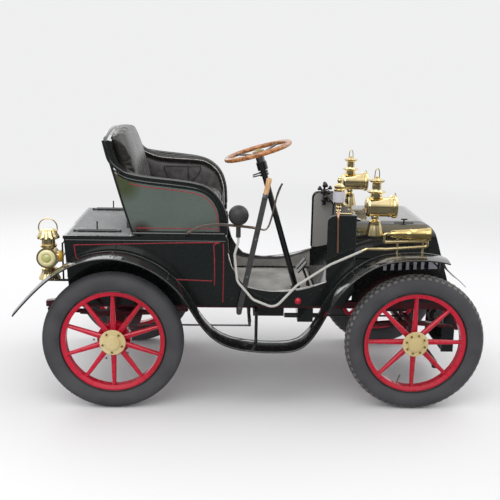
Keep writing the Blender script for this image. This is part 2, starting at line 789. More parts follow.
@dataclass
class Studio:
    """A pale floor, plain soft light and the camera."""

    camera_place: Point = (-0.15475, -4.694, 1.8775)
    yaw: float = -1.89
    pitch: float = 13.24
    roll: float = 1.01
    focal: float = 57.6
    sensor: float = 36.0
    shift_up: float = -0.002
    floor_size: float = 60.0
    floor_colour: Colour = (0.82, 0.82, 0.83)
    floor_mirrored: Colour = (0.13, 0.135, 0.14)
    far_mirrored: Colour = (0.74, 0.74, 0.76)
    mirror_fade: Pair = (-0.6, 1.6)
    floor_fade: Pair = (3.2, 8.5)
    backdrop: Colour = (0.868, 0.868, 0.872)
    mirrored_sides: Pair = (0.07, 0.85)
    mirrored_top: float = 1.0
    sky_strength: float = 0.85
    lamps: tuple[tuple[str, Point, float, float], ...] = (
        ("key", (-1.5, -3.5, 4.5), 5.0, 120.0), ("fill", (3.5, 1.0, 4.0), 4.0, 60.0),
        ("back", (-3.0, 3.5, 3.5), 4.0, 50.0),
    )

    def build(self) -> None:
        """Make the whole studio."""
        bpy.context.scene.view_settings.view_transform = "Standard"
        self.camera()
        self.world()
        self.floor()
        for name, place, size, power in self.lamps:
            self.lamp(name, place, size, power)

    def camera(self) -> None:
        """Set the camera where the photograph was taken."""
        lens = bpy.data.cameras.new("camera")
        lens.lens, lens.sensor_width, lens.shift_y = self.focal, self.sensor, self.shift_up
        made = bpy.data.objects.new("camera", lens)
        bpy.context.scene.collection.objects.link(made)
        yaw, pitch, roll = (math.radians(a) for a in (self.yaw, self.pitch, self.roll))
        ahead = Vector((-math.sin(yaw) * math.cos(pitch), math.cos(yaw) * math.cos(pitch), -math.sin(pitch)))
        right = Vector((math.cos(yaw), math.sin(yaw), 0.0))
        up = right.cross(ahead)
        turned_right = right * math.cos(roll) + up * math.sin(roll)
        turned_up = up * math.cos(roll) - right * math.sin(roll)
        turn = Matrix((turned_right, turned_up, -ahead)).transposed().to_4x4()
        made.matrix_world = Matrix.Translation(self.camera_place) @ turn
        bpy.context.scene.camera = made

    def world(self) -> None:
        """A white sky to look at, a studio with a dark near side to reflect, and plain light for the rest."""
        world = bpy.data.worlds.new("sky")
        bpy.context.scene.world = world
        world.use_nodes = True
        tree = NodeTree(world.node_tree)
        paths = tree.node("ShaderNodeLightPath")
        toward = tree.node("ShaderNodeTexCoord").outputs["Generated"]
        axes = tree.node("ShaderNodeSeparateXYZ", Vector=toward)
        behind = tree.spread(axes.outputs["Y"], *self.mirrored_sides, -0.55, 0.35)
        above = tree.spread(axes.outputs["Z"], 0.0, 1.0, 0.12, 0.62)
        bright = tree.node("ShaderNodeMix", {"data_type": "FLOAT"})
        tree.link(above, bright.inputs["Factor"])
        tree.link(behind, bright.inputs[2])
        bright.inputs[3].default_value = self.mirrored_top
        light = tree.node("ShaderNodeBackground", Color=(1.0, 1.0, 1.0, 1.0), Strength=self.sky_strength)
        mirrored = tree.node("ShaderNodeBackground", Color=(1.0, 1.0, 1.0, 1.0), Strength=bright.outputs[0])
        shown = tree.node("ShaderNodeBackground", Color=(*self.backdrop, 1.0), Strength=1.0)
        first = tree.mix(paths.outputs["Is Glossy Ray"], light, mirrored)
        seen = tree.node("ShaderNodeMath", {"operation": "ADD", "use_clamp": True})
        tree.link(paths.outputs["Is Camera Ray"], seen.inputs[0])
        tree.link(paths.outputs["Is Transmission Ray"], seen.inputs[1])
        second = tree.mix(seen.outputs[0], first, shown)
        output = tree.node("ShaderNodeOutputWorld")
        tree.link(second.outputs[0], output.inputs["Surface"])

    def floor(self) -> None:
        """Lay the floor at the tyres' feet; far from the car it passes into the backdrop."""
        half = self.floor_size / 2
        mesh = bpy.data.meshes.new("studio_floor")
        corners = [(-half, -half, 0), (half, -half, 0), (half, half, 0), (-half, half, 0)]
        mesh.from_pydata(corners, [], [(0, 1, 2, 3)])
        made = bpy.data.objects.new("studio_floor", mesh)
        bpy.context.scene.collection.objects.link(made)
        material = bpy.data.materials.new("studio_floor")
        material.use_nodes = True
        tree = NodeTree(material.node_tree)
        spot = tree.node("ShaderNodeTexCoord").outputs["Object"]
        far = tree.node("ShaderNodeVectorMath", {"operation": "LENGTH"})
        tree.link(spot, far.inputs[0])
        share = tree.spread(far.outputs["Value"], 0.0, 1.0, *self.floor_fade)
        matte = tree.node("ShaderNodeBsdfDiffuse", Color=(*self.floor_colour, 1.0))
        glow = tree.node("ShaderNodeEmission", Color=(*self.backdrop, 1.0), Strength=1.0)
        side = tree.node("ShaderNodeSeparateXYZ", Vector=spot).outputs["Y"]
        fade = tree.spread(side, 0.0, 1.0, *self.mirror_fade)
        near_far = tree.blend(fade, self.floor_mirrored, self.far_mirrored)
        dark = tree.node("ShaderNodeEmission", Color=near_far, Strength=1.0)
        paths = tree.node("ShaderNodeLightPath")
        both = tree.mix(paths.outputs["Is Glossy Ray"], tree.mix(share, matte, glow), dark)
        output = tree.node("ShaderNodeOutputMaterial")
        tree.link(both.outputs[0], output.inputs["Surface"])
        mesh.materials.append(material)

    @staticmethod
    def lamp(name: str, place: Point, size: float, power: float) -> None:
        """Hang a soft square lamp that faces the car.

        Args:
            name: of the lamp.
            place: where it hangs.
            size: its side.
            power: in watts.
        """
        light = bpy.data.lights.new(name, "AREA")
        light.size, light.energy = size, power
        made = bpy.data.objects.new(name, light)
        bpy.context.scene.collection.objects.link(made)
        made.location = place
        made.rotation_euler = (Vector((0.0, 0.0, 0.5)) - Vector(place)).to_track_quat("-Z", "Y").to_euler()


@dataclass
class BareNodes:
    """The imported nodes, each in the finish of the real piece."""

    finishes: dict[str, Palette] = field(default_factory=lambda: {
        "chassis_frame": Palette.FRAME_RED, "front_axle": Palette.FRAME_RED,
        "rear_axle": Palette.FRAME_RED, "springs": Palette.FRAME_RED, "engine_block": Palette.IRON,
        "radiator": Palette.BLACK, "body_tub": Palette.COACH, "rear_deck": Palette.COACH,
        "dash": Palette.COACH, "seat_tub": Palette.COACH, "seat_lining": Palette.LEATHER,
        "seat_cushion": Palette.LEATHER, "bonnet_sides": Palette.BLACK, "bonnet_lid": Palette.BLACK,
        "mudguard_right": Palette.BLACK, "mudguard_left": Palette.BLACK, "steering_column": Palette.BLACK,
        "steering_wheel": Palette.GREY_STEEL, "hand_levers": Palette.GREY_STEEL,
        "pedals": Palette.IRON_BLACK, "lubricator": Palette.BRASS, "lubricator_glass": Palette.OIL_GLASS,
        "switch_box": Palette.IRON_BLACK, "horn_strap": Palette.IRON_BLACK, "horn_bulb": Palette.BULB,
        "horn_tube": Palette.HOSE, "horn_trumpet": Palette.BRASS, "headlamp_right": Palette.BRASS,
        "headlamp_left": Palette.BRASS, "lamp_glass": Palette.GLASS, "tail_lamp": Palette.BRASS,
        "stays": Palette.IRON_BLACK, "undertray": Palette.IRON_BLACK, "brake_rods": Palette.GREY_STEEL,
        "knuckle_right": Palette.FRAME_RED, "knuckle_left": Palette.FRAME_RED,
        "tie_rod": Palette.IRON_BLACK, "drag_link": Palette.IRON_BLACK,
    })
    families: dict[str, Palette] = field(default_factory=lambda: {
        "wheel": Palette.RED, "tyre": Palette.TYRE, "hub_cap": Palette.BRASS,
    })

    def build(self, car: Car) -> None:
        """Give every node its finish.

        Args:
            car: the car.
        """
        for name, node in car.frame["nodes"].items():
            finish = self.finishes.get(name)
            if finish is None:
                finish = next(kind for start, kind in self.families.items() if name.startswith(start))
            node.data.materials.clear()
            node.data.materials.append(finish.material())
            for polygon in node.data.polygons:
                polygon.material_index = 0
            log.info("node %s in %s", name, finish.name)


@dataclass
class Tyres:
    """Beaded-edge tyres: a round carcass, notched shoulders behind, staggered blocks in front."""

    half_section: tuple[Pair, ...] = (
        (0.3825, 0.0), (0.3816, 0.013), (0.3785, 0.026), (0.3720, 0.037), (0.3620, 0.0455),
        (0.3480, 0.0512), (0.3340, 0.0525), (0.3200, 0.0505), (0.3080, 0.0455), (0.2985, 0.0385),
        (0.2915, 0.0325), (0.2847, 0.0290),
    )
    turns: int = 128
    front_blocks: int = 62
    block: Point = (0.021, 0.0145, 0.0055)
    block_rows: tuple[Pair, ...] = ((0.3800, 0.0140), (0.3715, 0.0345))
    rear_ribs: int = 132
    rib: Point = (0.0065, 0.014, 0.0028)
    rib_row: Pair = (0.3705, 0.0375)
    groove_rows: tuple[Pair, ...] = ((0.3822, 0.006), (0.3805, 0.0175))
    groove_bead: float = 0.0022
    bead_radius: float = 0.3340
    block_bevel: float = 0.0009

    def build(self, car: Car) -> None:
        """Make the four tyres.

        Args:
            car: the car.
        """
        for end in ("rear", "front"):
            for _, hand in SIDES:
                corner = f"{end}_{hand}"
                self.tyre(car.middle(f"tyre_{corner}"), corner, end == "front")

    def tyre(self, hub: Vector, corner: str, blocks: bool) -> None:
        """Make one tyre with its tread.

        Args:
            hub: middle of the wheel.
            corner: which wheel, such as rear_left.
            blocks: block tread, or ribbed.
        """
        axis = Vector((0.0, 1.0, 0.0))
        carcass = Shape()
        loop = [*self.half_section, *((r, -y) for r, y in reversed(self.half_section[1:]))]
        carcass.lathe(hub, axis, loop, self.turns, closed=True)
        if not blocks:
            for radius, offset in self.groove_rows:
                for side in (-1, 1):
                    carcass.hoop(hub + axis * offset * side, axis, radius, self.groove_bead, 96, 6)
        body = f"wheel_{corner}"
        carcass.place(
            f"carcass_{corner}", Palette.TYRE, body, "tyre_rubber", [f"tyre_{corner}"], smooth=60.0,
        )
        tread = Shape()
        count = self.front_blocks if blocks else self.rear_ribs
        rows = self.block_rows if blocks else (self.rib_row,)
        size = self.block if blocks else self.rib
        for row, (radius, offset) in enumerate(rows):
            lean = math.atan2(offset, radius - self.bead_radius)
            for side in (-1, 1):
                shift = 0.5 * ((row + (side > 0)) % 2)
                for i in range(count):
                    turn = Matrix.Rotation(math.tau * (i + shift) / count, 3, "Y")
                    tilt = Matrix.Rotation(-lean * side, 3, "X")
                    spot = hub + turn @ Vector((0.0, offset * side, radius))
                    tread.block(spot, size, turn @ tilt)
        finish = Palette.TREAD if blocks else Palette.TYRE
        bevel = self.block_bevel if blocks else 0.0
        tread.place(f"tread_{corner}", finish, body, "tyre_rubber", smooth=30.0, bevel=bevel)


@dataclass
class WheelTrim:
    """Clincher rims, caps, bolts and valve stems of the wheels."""

    lip_radius: float = 0.2850
    lip_wire: float = 0.0038
    lip_offset: float = 0.0325
    cap_profile: tuple[Pair, ...] = (
        (0.0705, 0.0), (0.0712, 0.0035), (0.0695, 0.0075), (0.0660, 0.0088), (0.0600, 0.0092),
        (0.0430, 0.0098), (0.0405, 0.0130), (0.0385, 0.0175), (0.0340, 0.0198), (0.0180, 0.0206),
        (0.0, 0.0210),
    )
    bolt_radius: float = 0.0062
    bolt_height: float = 0.0065
    spoke_bolt_circle: float = 0.102
    spoke_bolts: tuple[float, ...] = (-16.0, 57.0, 129.0, 201.0, 277.0)
    rear_cap_bolts: tuple[float, float, int] = (0.055, -33.0, 5)
    front_cap_bolts: tuple[float, float, int] = (0.052, 15.0, 8)
    stem_angle: dict[str, float] = field(default_factory=lambda: {"rear": 145.0, "front": 199.0})
    stem_from: float = 0.205
    stem_to: float = 0.262

    def build(self, car: Car) -> None:
        """Dress the four wheels.

        Args:
            car: the car.
        """
        for end in ("rear", "front"):
            for side, hand in SIDES:
                self.dress(car, end, side, f"{end}_{hand}")

    def dress(self, car: Car, end: str, side: int, corner: str) -> None:
        """Dress one wheel.

        Args:
            car: the car.
            end: rear or front.
            side: -1 for the car's right.
            corner: which wheel.
        """
        hub = car.middle(f"tyre_{corner}")
        out = Vector((0.0, float(side), 0.0))
        body = f"wheel_{corner}"
        rim = Shape()
        for face in (-1, 1):
            rim.hoop(hub + out * self.lip_offset * face, out, self.lip_radius, self.lip_wire, 112, 8)
        rim.place(f"clincher_rim_{corner}", Palette.DARK_STEEL, body, "steel")
        low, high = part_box(f"hub_cap_{corner}")
        foot = Vector((hub.x, low.y if side > 0 else high.y, hub.z))
        cap = Shape()
        cap.lathe(foot, out, self.cap_profile, 72)
        heads = Shape()
        circle, first, count = self.rear_cap_bolts if end == "rear" else self.front_cap_bolts
        for i in range(count):
            spot = self.clock(foot + out * 0.0085, circle, first + 360.0 / count * i)
            heads.bolt(spot, out, self.bolt_radius, self.bolt_height)
        cap.place(
            f"brass_cap_{corner}", Palette.CAP_BRASS, body, "brass", [f"hub_cap_{corner}"], smooth=30.0,
        )
        heads.place(f"cap_bolts_{corner}", Palette.DULL_BRASS, body, "brass", smooth=30.0)
        fittings = Shape()
        if end == "rear":
            face = foot.y - side * 0.0115
            for angle in self.spoke_bolts:
                spot = self.clock(Vector((hub.x, face, hub.z)), self.spoke_bolt_circle, angle)
                fittings.bolt(spot, out, self.bolt_radius * 0.9, self.bolt_height)
        angle = self.stem_angle[end]
        ends = [self.clock(hub, reach, angle) for reach in (self.stem_from, self.stem_to)]
        fittings.tube([ends[0], ends[0].lerp(ends[1], 0.5), ends[1]], (0.0048, 0.0036, 0.0052), 10)
        fittings.place(f"wheel_fittings_{corner}", Palette.STEEL, body, "steel")

    @staticmethod
    def clock(centre: Vector, radius: float, degrees: float) -> Vector:
        """A point around a wheel, by degrees clockwise from the top in the photograph's view."""
        angle = math.radians(degrees)
        return centre + Vector((math.sin(angle) * radius, 0.0, math.cos(angle) * radius))


@dataclass
class SeatCovers:
    """Leather of the seat: swollen back pad and cushion, arm rolls, linings, piping and pocket."""

    deck: float = 0.937
    shell: float = 0.022
    lean: float = 15.5
    rear_x: float = 0.096
    half_width: float = 0.400
    bolster: float = 0.017
    far_bolster: float = 0.021
    arm_line: tuple[Pair, ...] = (
        (0.062, 1.300), (0.092, 1.277), (0.130, 1.263), (0.186, 1.253), (0.250, 1.245), (0.336, 1.236),
        (0.439, 1.221), (0.500, 1.196), (0.548, 1.150), (0.576, 1.098), (0.590, 1.030), (0.594, 0.985),
    )
    far_line: tuple[Pair, ...] = (
        (0.050, 1.382), (0.066, 1.345), (0.095, 1.322), (0.130, 1.306), (0.190, 1.288), (0.287, 1.279),
        (0.439, 1.270), (0.500, 1.248), (0.545, 1.212), (0.573, 1.164), (0.590, 1.100), (0.595, 1.020),
        (0.595, 0.985),
    )
    pad_depth: float = 0.070
    pad_top: float = 1.520
    pad_foot: float = 1.085
    pad_half: float = 0.352
    pad_arch: float = 0.036
    cushion_low: float = 1.000
    cushion_top: float = 1.092
    cushion_back: float = 0.155
    cushion_front: float = 0.590
    cushion_half: float = 0.318
    frames: int = 20
    pressure: float = 4.0
    travel: float = 0.022
    voxel: float = 0.006

    def build(self, car: Car) -> None:
        """Make every leather piece of the seat.

        Args:
            car: the car.
        """
        back = self.back_pad(car)
        self.swell(back, self.travel)
        cushion = self.cushion(car)
        self.swell(cushion, self.travel)
        for side, hand in SIDES:
            self.arm_lining(car, side, hand)
            bolster = self.arm_bolster(car, side, hand)
        self.piping(car)
        self.far_bead(car)
        self.pocket(car)

    def lean_at(self, z: float) -> float:
        """How far the seat's back leans rearward at a height."""
        return math.tan(math.radians(self.lean)) * (z - self.deck)

    def back_pad(self, car: Car) -> bpy.types.Object:
        """The pad of the back as a crowned slab with an arched top.

        Args:
            car: the car.

        Returns:
            The pad.
        """
        shape = Shape()
        rings = []
        columns, rows = 28, 18
        for i in range(columns + 1):
            u = i / columns * 2 - 1
            y = u * self.pad_half
            crown = (1 - abs(u) ** 4) ** 0.5 if abs(u) < 1 else 0.0
            top = self.pad_top - self.pad_arch * u * u - 0.02 * abs(u) ** 10
            thick = 0.012 + (self.pad_depth - 0.012) * max(crown, 0.25)
            ring = []
            for j in range(rows * 2):
                turn = math.tau * j / (rows * 2)
                height = (1 - math.cos(turn)) / 2
                z = self.pad_foot + (top - self.pad_foot) * height
                front = math.sin(turn)
                depth = thick * max(front, 0.0) ** 0.42
                x = self.rear_x + self.shell + 0.008 - self.lean_at(z) + depth
                ring.append(car.at(x, y, z))
            rings.append(ring)
        shape.ring_loft(rings)
        return shape.place(
            "seat_back_pad", Palette.LEATHER, "chassis", "leather", ["seat_lining"], smooth=70.0,
        )

    def cushion(self, car: Car) -> bpy.types.Object:
        """The cushion, crowned, with sides that pull in between its corners.

        Args:
            car: the car.

        Returns:
            The cushion.
        """
        shape = Shape()
        middle = car.at((self.cushion_back + self.cushion_front) / 2, 0.0, 0.0)
        half_x = (self.cushion_front - self.cushion_back) / 2
        rings = []
        for step in range(15):
            t = step / 14
            rise = math.sin(t * math.pi) ** 0.35
            z = self.cushion_low + (self.cushion_top - self.cushion_low) * t
            ring = []
            for i in range(96):
                turn = math.tau * i / 96
                along, across = rounded_square(turn)
                pull = 1 - 0.012 * (math.cos(2 * turn) ** 2) * rise
                grow = 0.90 + 0.10 * rise
                ring.append(middle + Vector((
                    along * half_x * grow * pull, across * self.cushion_half * grow * pull, z,
                )))
            rings.append(ring)
        shape.ring_loft(rings)
        return shape.place(
            "seat_cushion_leather", Palette.LEATHER, "chassis", "leather", ["seat_cushion"], smooth=70.0,
        )

    def swell(self, made: bpy.types.Object, travel: float) -> None:
        """Blow the pad up with the cloth solver and keep the result.

        Args:
            made: the pad.
            travel: how far a point may move.
        """
        remesh = made.modifiers.new("remesh", "REMESH")
        remesh.mode, remesh.voxel_size, remesh.use_smooth_shade = "VOXEL", self.voxel, True
        self.keep(made)
        rest = [vert.co.copy() for vert in made.data.vertices]
        cloth = made.modifiers.new("cloth", "CLOTH")
        cloth.settings.use_pressure = True
        cloth.settings.uniform_pressure_force = self.pressure
        cloth.settings.effector_weights.gravity = 0.0
        cloth.point_cache.frame_start, cloth.point_cache.frame_end = 1, self.frames
        scene = bpy.context.scene
        for frame in range(1, self.frames + 1):
            scene.frame_set(frame)
        self.keep(made)
        scene.frame_set(1)
        for vert, start in zip(made.data.vertices, rest):
            move = vert.co - start
            if move.length > travel:
                vert.co = start + move * (travel / move.length)
        made.modifiers.new("smooth", "SUBSURF").levels = 1
        self.keep(made)

    @staticmethod
    def keep(made: bpy.types.Object) -> None:
        """Apply an object's modifiers to its mesh.

        Args:
            made: the object.
        """
        graph = bpy.context.evaluated_depsgraph_get()
        graph.update()
        mesh = bpy.data.meshes.new_from_object(made.evaluated_get(graph))
        made.modifiers.clear()
        old, made.data = made.data, mesh
        bpy.data.meshes.remove(old)
        for polygon in mesh.polygons:
            polygon.use_smooth = True

    def rail(self, car: Car, side: int, inset: float, drop: float = 0.0) -> list[Vector]:
        """The arm's top line on one side.

        Args:
            car: the car.
            side: -1 for the near arm.
            inset: how far inside the seat's outer face.
            drop: how far below the line.

        Returns:
            Points from the back to the front.
        """
        line = self.far_line if side > 0 else self.arm_line
        return [car.at(x, side * (self.half_width - inset), z - drop) for x, z in line]

    def arm_bolster(self, car: Car, side: int, hand: str) -> bpy.types.Object:
        """The stuffed roll along an arm, puckered a little between its tacks.

        Args:
            car: the car.
            side: -1 for the near arm.
            hand: right or left.

        Returns:
            The roll.
        """
        thick = self.far_bolster if side > 0 else self.bolster
        line = curve_through(self.rail(car, side, self.shell + thick * 0.8, 0.006 if side > 0 else 0.014), 9)
        radii = []
        for i in range(len(line)):
            share = i / (len(line) - 1)
            ends = min(1.0, 12 * share + 0.35, 12 * (1 - share) + 0.45)
            radii.append(thick * ends * (1 + 0.03 * math.sin(i * 1.9)))
        return Shape().tube(line, radii, 20).place(
            f"arm_bolster_{hand}", Palette.LEATHER, "chassis", "leather", smooth=70.0,
        )

    def arm_lining(self, car: Car, side: int, hand: str) -> None:
        """The leather that lines an arm under its bolster.

        Args:
            car: the car.
            side: -1 for the near arm.
            hand: right or left.
        """
        line = curve_through(self.rail(car, side, self.shell + 0.004, 0.03), 6)
        thickness = 0.026
        rings = []
        for i, point in enumerate(line):
            foot = self.deck + self.shell + 0.012
            ring = []
            for j in range(12):
                t = j / 11
                swell = math.sin(t * math.pi) ** 0.5 * (1 + 0.10 * math.sin(i * 0.35) * math.sin(t * math.pi))
                z = point.z + (foot - point.z) * t
                ring.append(Vector((point.x, point.y - side * thickness * (0.25 + 0.75 * swell), z)))
            for j in range(12):
                ring.append(Vector((point.x, point.y, foot + (point.z - foot) * j / 11)))
            rings.append(ring)
        Shape().ring_loft(rings).place(
            f"arm_lining_{hand}", Palette.LINING, "chassis", "leather", smooth=70.0,
        )

    def piping(self, car: Car) -> None:
        """Piping along the near bolster and around the cushion's edges.

        Args:
            car: the car.
        """
        shape = Shape()
        near = curve_through(self.rail(car, -1, self.shell + self.bolster * 1.9, 0.004), 8)
        shape.tube(near, 0.0026, 8)
        grow = 0.985
        for z in (self.cushion_top - 0.012, self.cushion_low + 0.02):
            loop = []
            for i in range(96):
                along, across = rounded_square(math.tau * i / 96)
                loop.append(car.at(
                    (self.cushion_back + self.cushion_front) / 2
                    + along * grow * (self.cushion_front - self.cushion_back) / 2,
                    across * grow * self.cushion_half, z,
                ))
            shape.tube(loop, 0.003, 8, closed=True)
        shape.place("seat_piping", Palette.PIPING, "chassis", "leather")

    def far_bead(self, car: Car) -> None:
        """The pale bead along the middle of the far arm's roll.

        Args:
            car: the car.
        """
        inset = self.shell + self.far_bolster * 1.75
        Shape().tube(curve_through(self.rail(car, 1, inset, 0.006), 8), 0.0026, 8).place(
            "arm_bead_left", Palette.PALE_PIPING, "chassis", "leather",
        )

    def pocket(self, car: Car) -> None:
        """The half-moon pocket on the far arm's lining with its stitched edge.

        Args:
            car: the car.
        """
        inner = self.half_width - self.shell - 0.0315
        points = []
        for i in range(33):
            turn = math.pi * (1 + i / 32)
            points.append(car.at(0.330 + 0.115 * math.cos(turn), inner, 1.225 + 0.105 * math.sin(turn)))
        points.append(points[0].copy())
        shape = Shape()
        shape.tube(points, 0.0028, 8)
        shape.tube([car.at(0.365, inner, 1.225), car.at(0.368, inner, 1.118)], 0.002, 6)
        shape.place("arm_pocket", Palette.PIPING, "chassis", "leather")


@dataclass
class SeatPanels:
    """The seat's painted side panels with corners, mouldings, back rail and red lines."""

    panel_line: tuple[Pair, ...] = (
        (-0.004, 1.300), (0.014, 1.274), (0.045, 1.252), (0.089, 1.234), (0.181, 1.218), (0.335, 1.200),
        (0.439, 1.186), (0.498, 1.163), (0.540, 1.120), (0.562, 1.070), (0.570, 1.015), (0.572, 0.972),
    )
    moulding_line: tuple[Pair, ...] = (
        (-0.052, 1.452), (-0.040, 1.400), (-0.026, 1.352), (-0.004, 1.322), (0.034, 1.294), (0.080, 1.272),
        (0.182, 1.254), (0.336, 1.238), (0.439, 1.223), (0.506, 1.198), (0.556, 1.152), (0.587, 1.098),
        (0.603, 1.030), (0.605, 0.945),
    )
    rear_line: tuple[Pair, ...] = ((-0.047, 1.440), (0.0, 1.275), (0.050, 1.100), (0.098, 0.948))
    corner_line: tuple[Pair, ...] = (
        (-0.048, 1.446), (-0.036, 1.392), (-0.022, 1.348), (0.000, 1.318), (0.036, 1.291), (0.080, 1.270),
        (0.080, 1.284), (0.045, 1.310), (0.020, 1.345), (0.004, 1.390), (-0.008, 1.440), (-0.022, 1.452),
    )
    side_y: float = 0.400
    panel_rise: float = 0.0012
    rail_radius: float = 0.0095
    far_lift: float = 0.052
    red_inset: float = 0.012
    line_width: float = 0.005
    panel_foot: tuple[Pair, Pair] = ((0.092, 0.962), (0.572, 0.962))
    red_foot: tuple[Pair, ...] = ((0.120, 0.978), (0.350, 0.978), (0.560, 0.978))
    foot_ledge: tuple[Pair, ...] = ((0.090, 0.947), (0.350, 0.947), (0.604, 0.947))
    corner_depth: Pair = (0.014, 0.002)
    back_half: float = 0.398
    back_top: float = 1.486

    def build(self, car: Car) -> None:
        """Make the panels, mouldings and lines of both sides.

        Args:
            car: the car.
        """
        for side, hand in SIDES:
            self.panel(car, side, hand)
            self.mouldings(car, side, hand)
        self.back_rail(car)
        self.corners(car)

    def corners(self, car: Car) -> None:
        """The side's upper rear corners, which sweep up to the top of the back.

        Args:
            car: the car.
        """
        shape = Shape()
        for side, _ in SIDES:
            shape.ring_loft([
                car.line(self.corner_line, side * (self.side_y - depth)) for depth in self.corner_depth
            ])
        shape.place("seat_side_corners", Palette.BLACK, "chassis", "black_paint", smooth=30.0)

    def lifted(self, points: Sequence[Pair], side: int) -> list[Pair]:
        """An outline, raised on the far side except at its front foot.

        Args:
            points: side-view points.
            side: -1 for the near side.

        Returns:
            The points.
        """
        if side < 0:
            return list(points)
        made = []
        for x, z in points:
            rise = self.far_lift * max(0.0, min(1.0, (z - 0.96) / 0.12))
            back = max(0.0, min(1.0, (x + 0.03) / 0.06))
            made.append((x, z + rise * back))
        return made

    def panel(self, car: Car, side: int, hand: str) -> None:
        """The panel inside the mouldings.

        Args:
            car: the car.
            side: -1 for the near side.
            hand: right or left.
        """
        top = curve_through(car.line(self.lifted(self.panel_line, side), 0.0), 5)
        foot_rear, foot_front = car.line(self.panel_foot, 0.0)
        shape = Shape()
        rings = []
        for i, point in enumerate(top):
            share = i / (len(top) - 1)
            low = foot_rear.lerp(foot_front, share ** 1.1)
            ring = []
            for out in (-0.002, self.panel_rise):
                y = side * (self.side_y + out)
                ring += [Vector((point.x, y, point.z)), Vector((low.x, y, low.z))][::1 if out < 0 else -1]
            rings.append(ring)
        shape.ring_loft(rings)
        shape.place(f"seat_panel_{hand}", Palette.PANEL, "chassis", "body_paint", smooth=20.0)

    def mouldings(self, car: Car, side: int, hand: str) -> None:
        """The rolled edges along the arm, front and rear, the foot's ledge, and the thin red lines.

        Args:
            car: the car.
            side: -1 for the near side.
            hand: right or left.
        """
        shape = Shape()
        y = side * (self.side_y - 0.004)
        shape.tube(curve_through(car.line(self.lifted(self.moulding_line, side), y), 7), self.rail_radius, 14)
        inner = [(x - 0.004, z - 0.022) for x, z in self.moulding_line[3:]]
        shape.tube(curve_through(car.line(self.lifted(inner, side), y + side * 0.002), 7), 0.0042, 8)
        shape.tube(curve_through(car.line(self.rear_line, y), 6), self.rail_radius * 0.8, 12)
        ahead = [(x + 0.021, z + 0.004) for x, z in self.rear_line]
        shape.tube(curve_through(car.line(ahead, y), 6), 0.004, 8)
        shape.tube(car.line(self.foot_ledge, y), 0.0085, 12)
        shape.place(f"seat_mouldings_{hand}", Palette.BLACK, "chassis", "black_paint")
        lines = Shape()
        out = Vector((0.0, float(side), 0.0))
        y = side * (self.side_y + self.panel_rise)
        points = [(x - self.red_inset * 0.5, z - self.red_inset) for x, z in self.panel_line[3:]]
        lines.strip(curve_through(car.line(self.lifted(points, side), y), 6), self.line_width, out, 0.0004)
        lines.strip(car.line(self.red_foot, y), self.line_width, out, 0.0004)
        lines.place(f"seat_lines_{hand}", Palette.LINE_RED, "chassis", "red_paint")

    def back_rail(self, car: Car) -> None:
        """The rolled edge over the top of the back.

        Args:
            car: the car.
        """
        points = []
        for i in range(25):
            u = i / 12 - 1
            z = self.back_top - 0.034 * u * u - (0.02 if abs(u) > 0.99 else 0.0)
            points.append(car.at(-0.054 + 0.006 * abs(u), u * self.back_half, z))
        Shape().tube(points, self.rail_radius, 14).place(
            "seat_back_rail", Palette.BLACK, "chassis", "black_paint",
        )


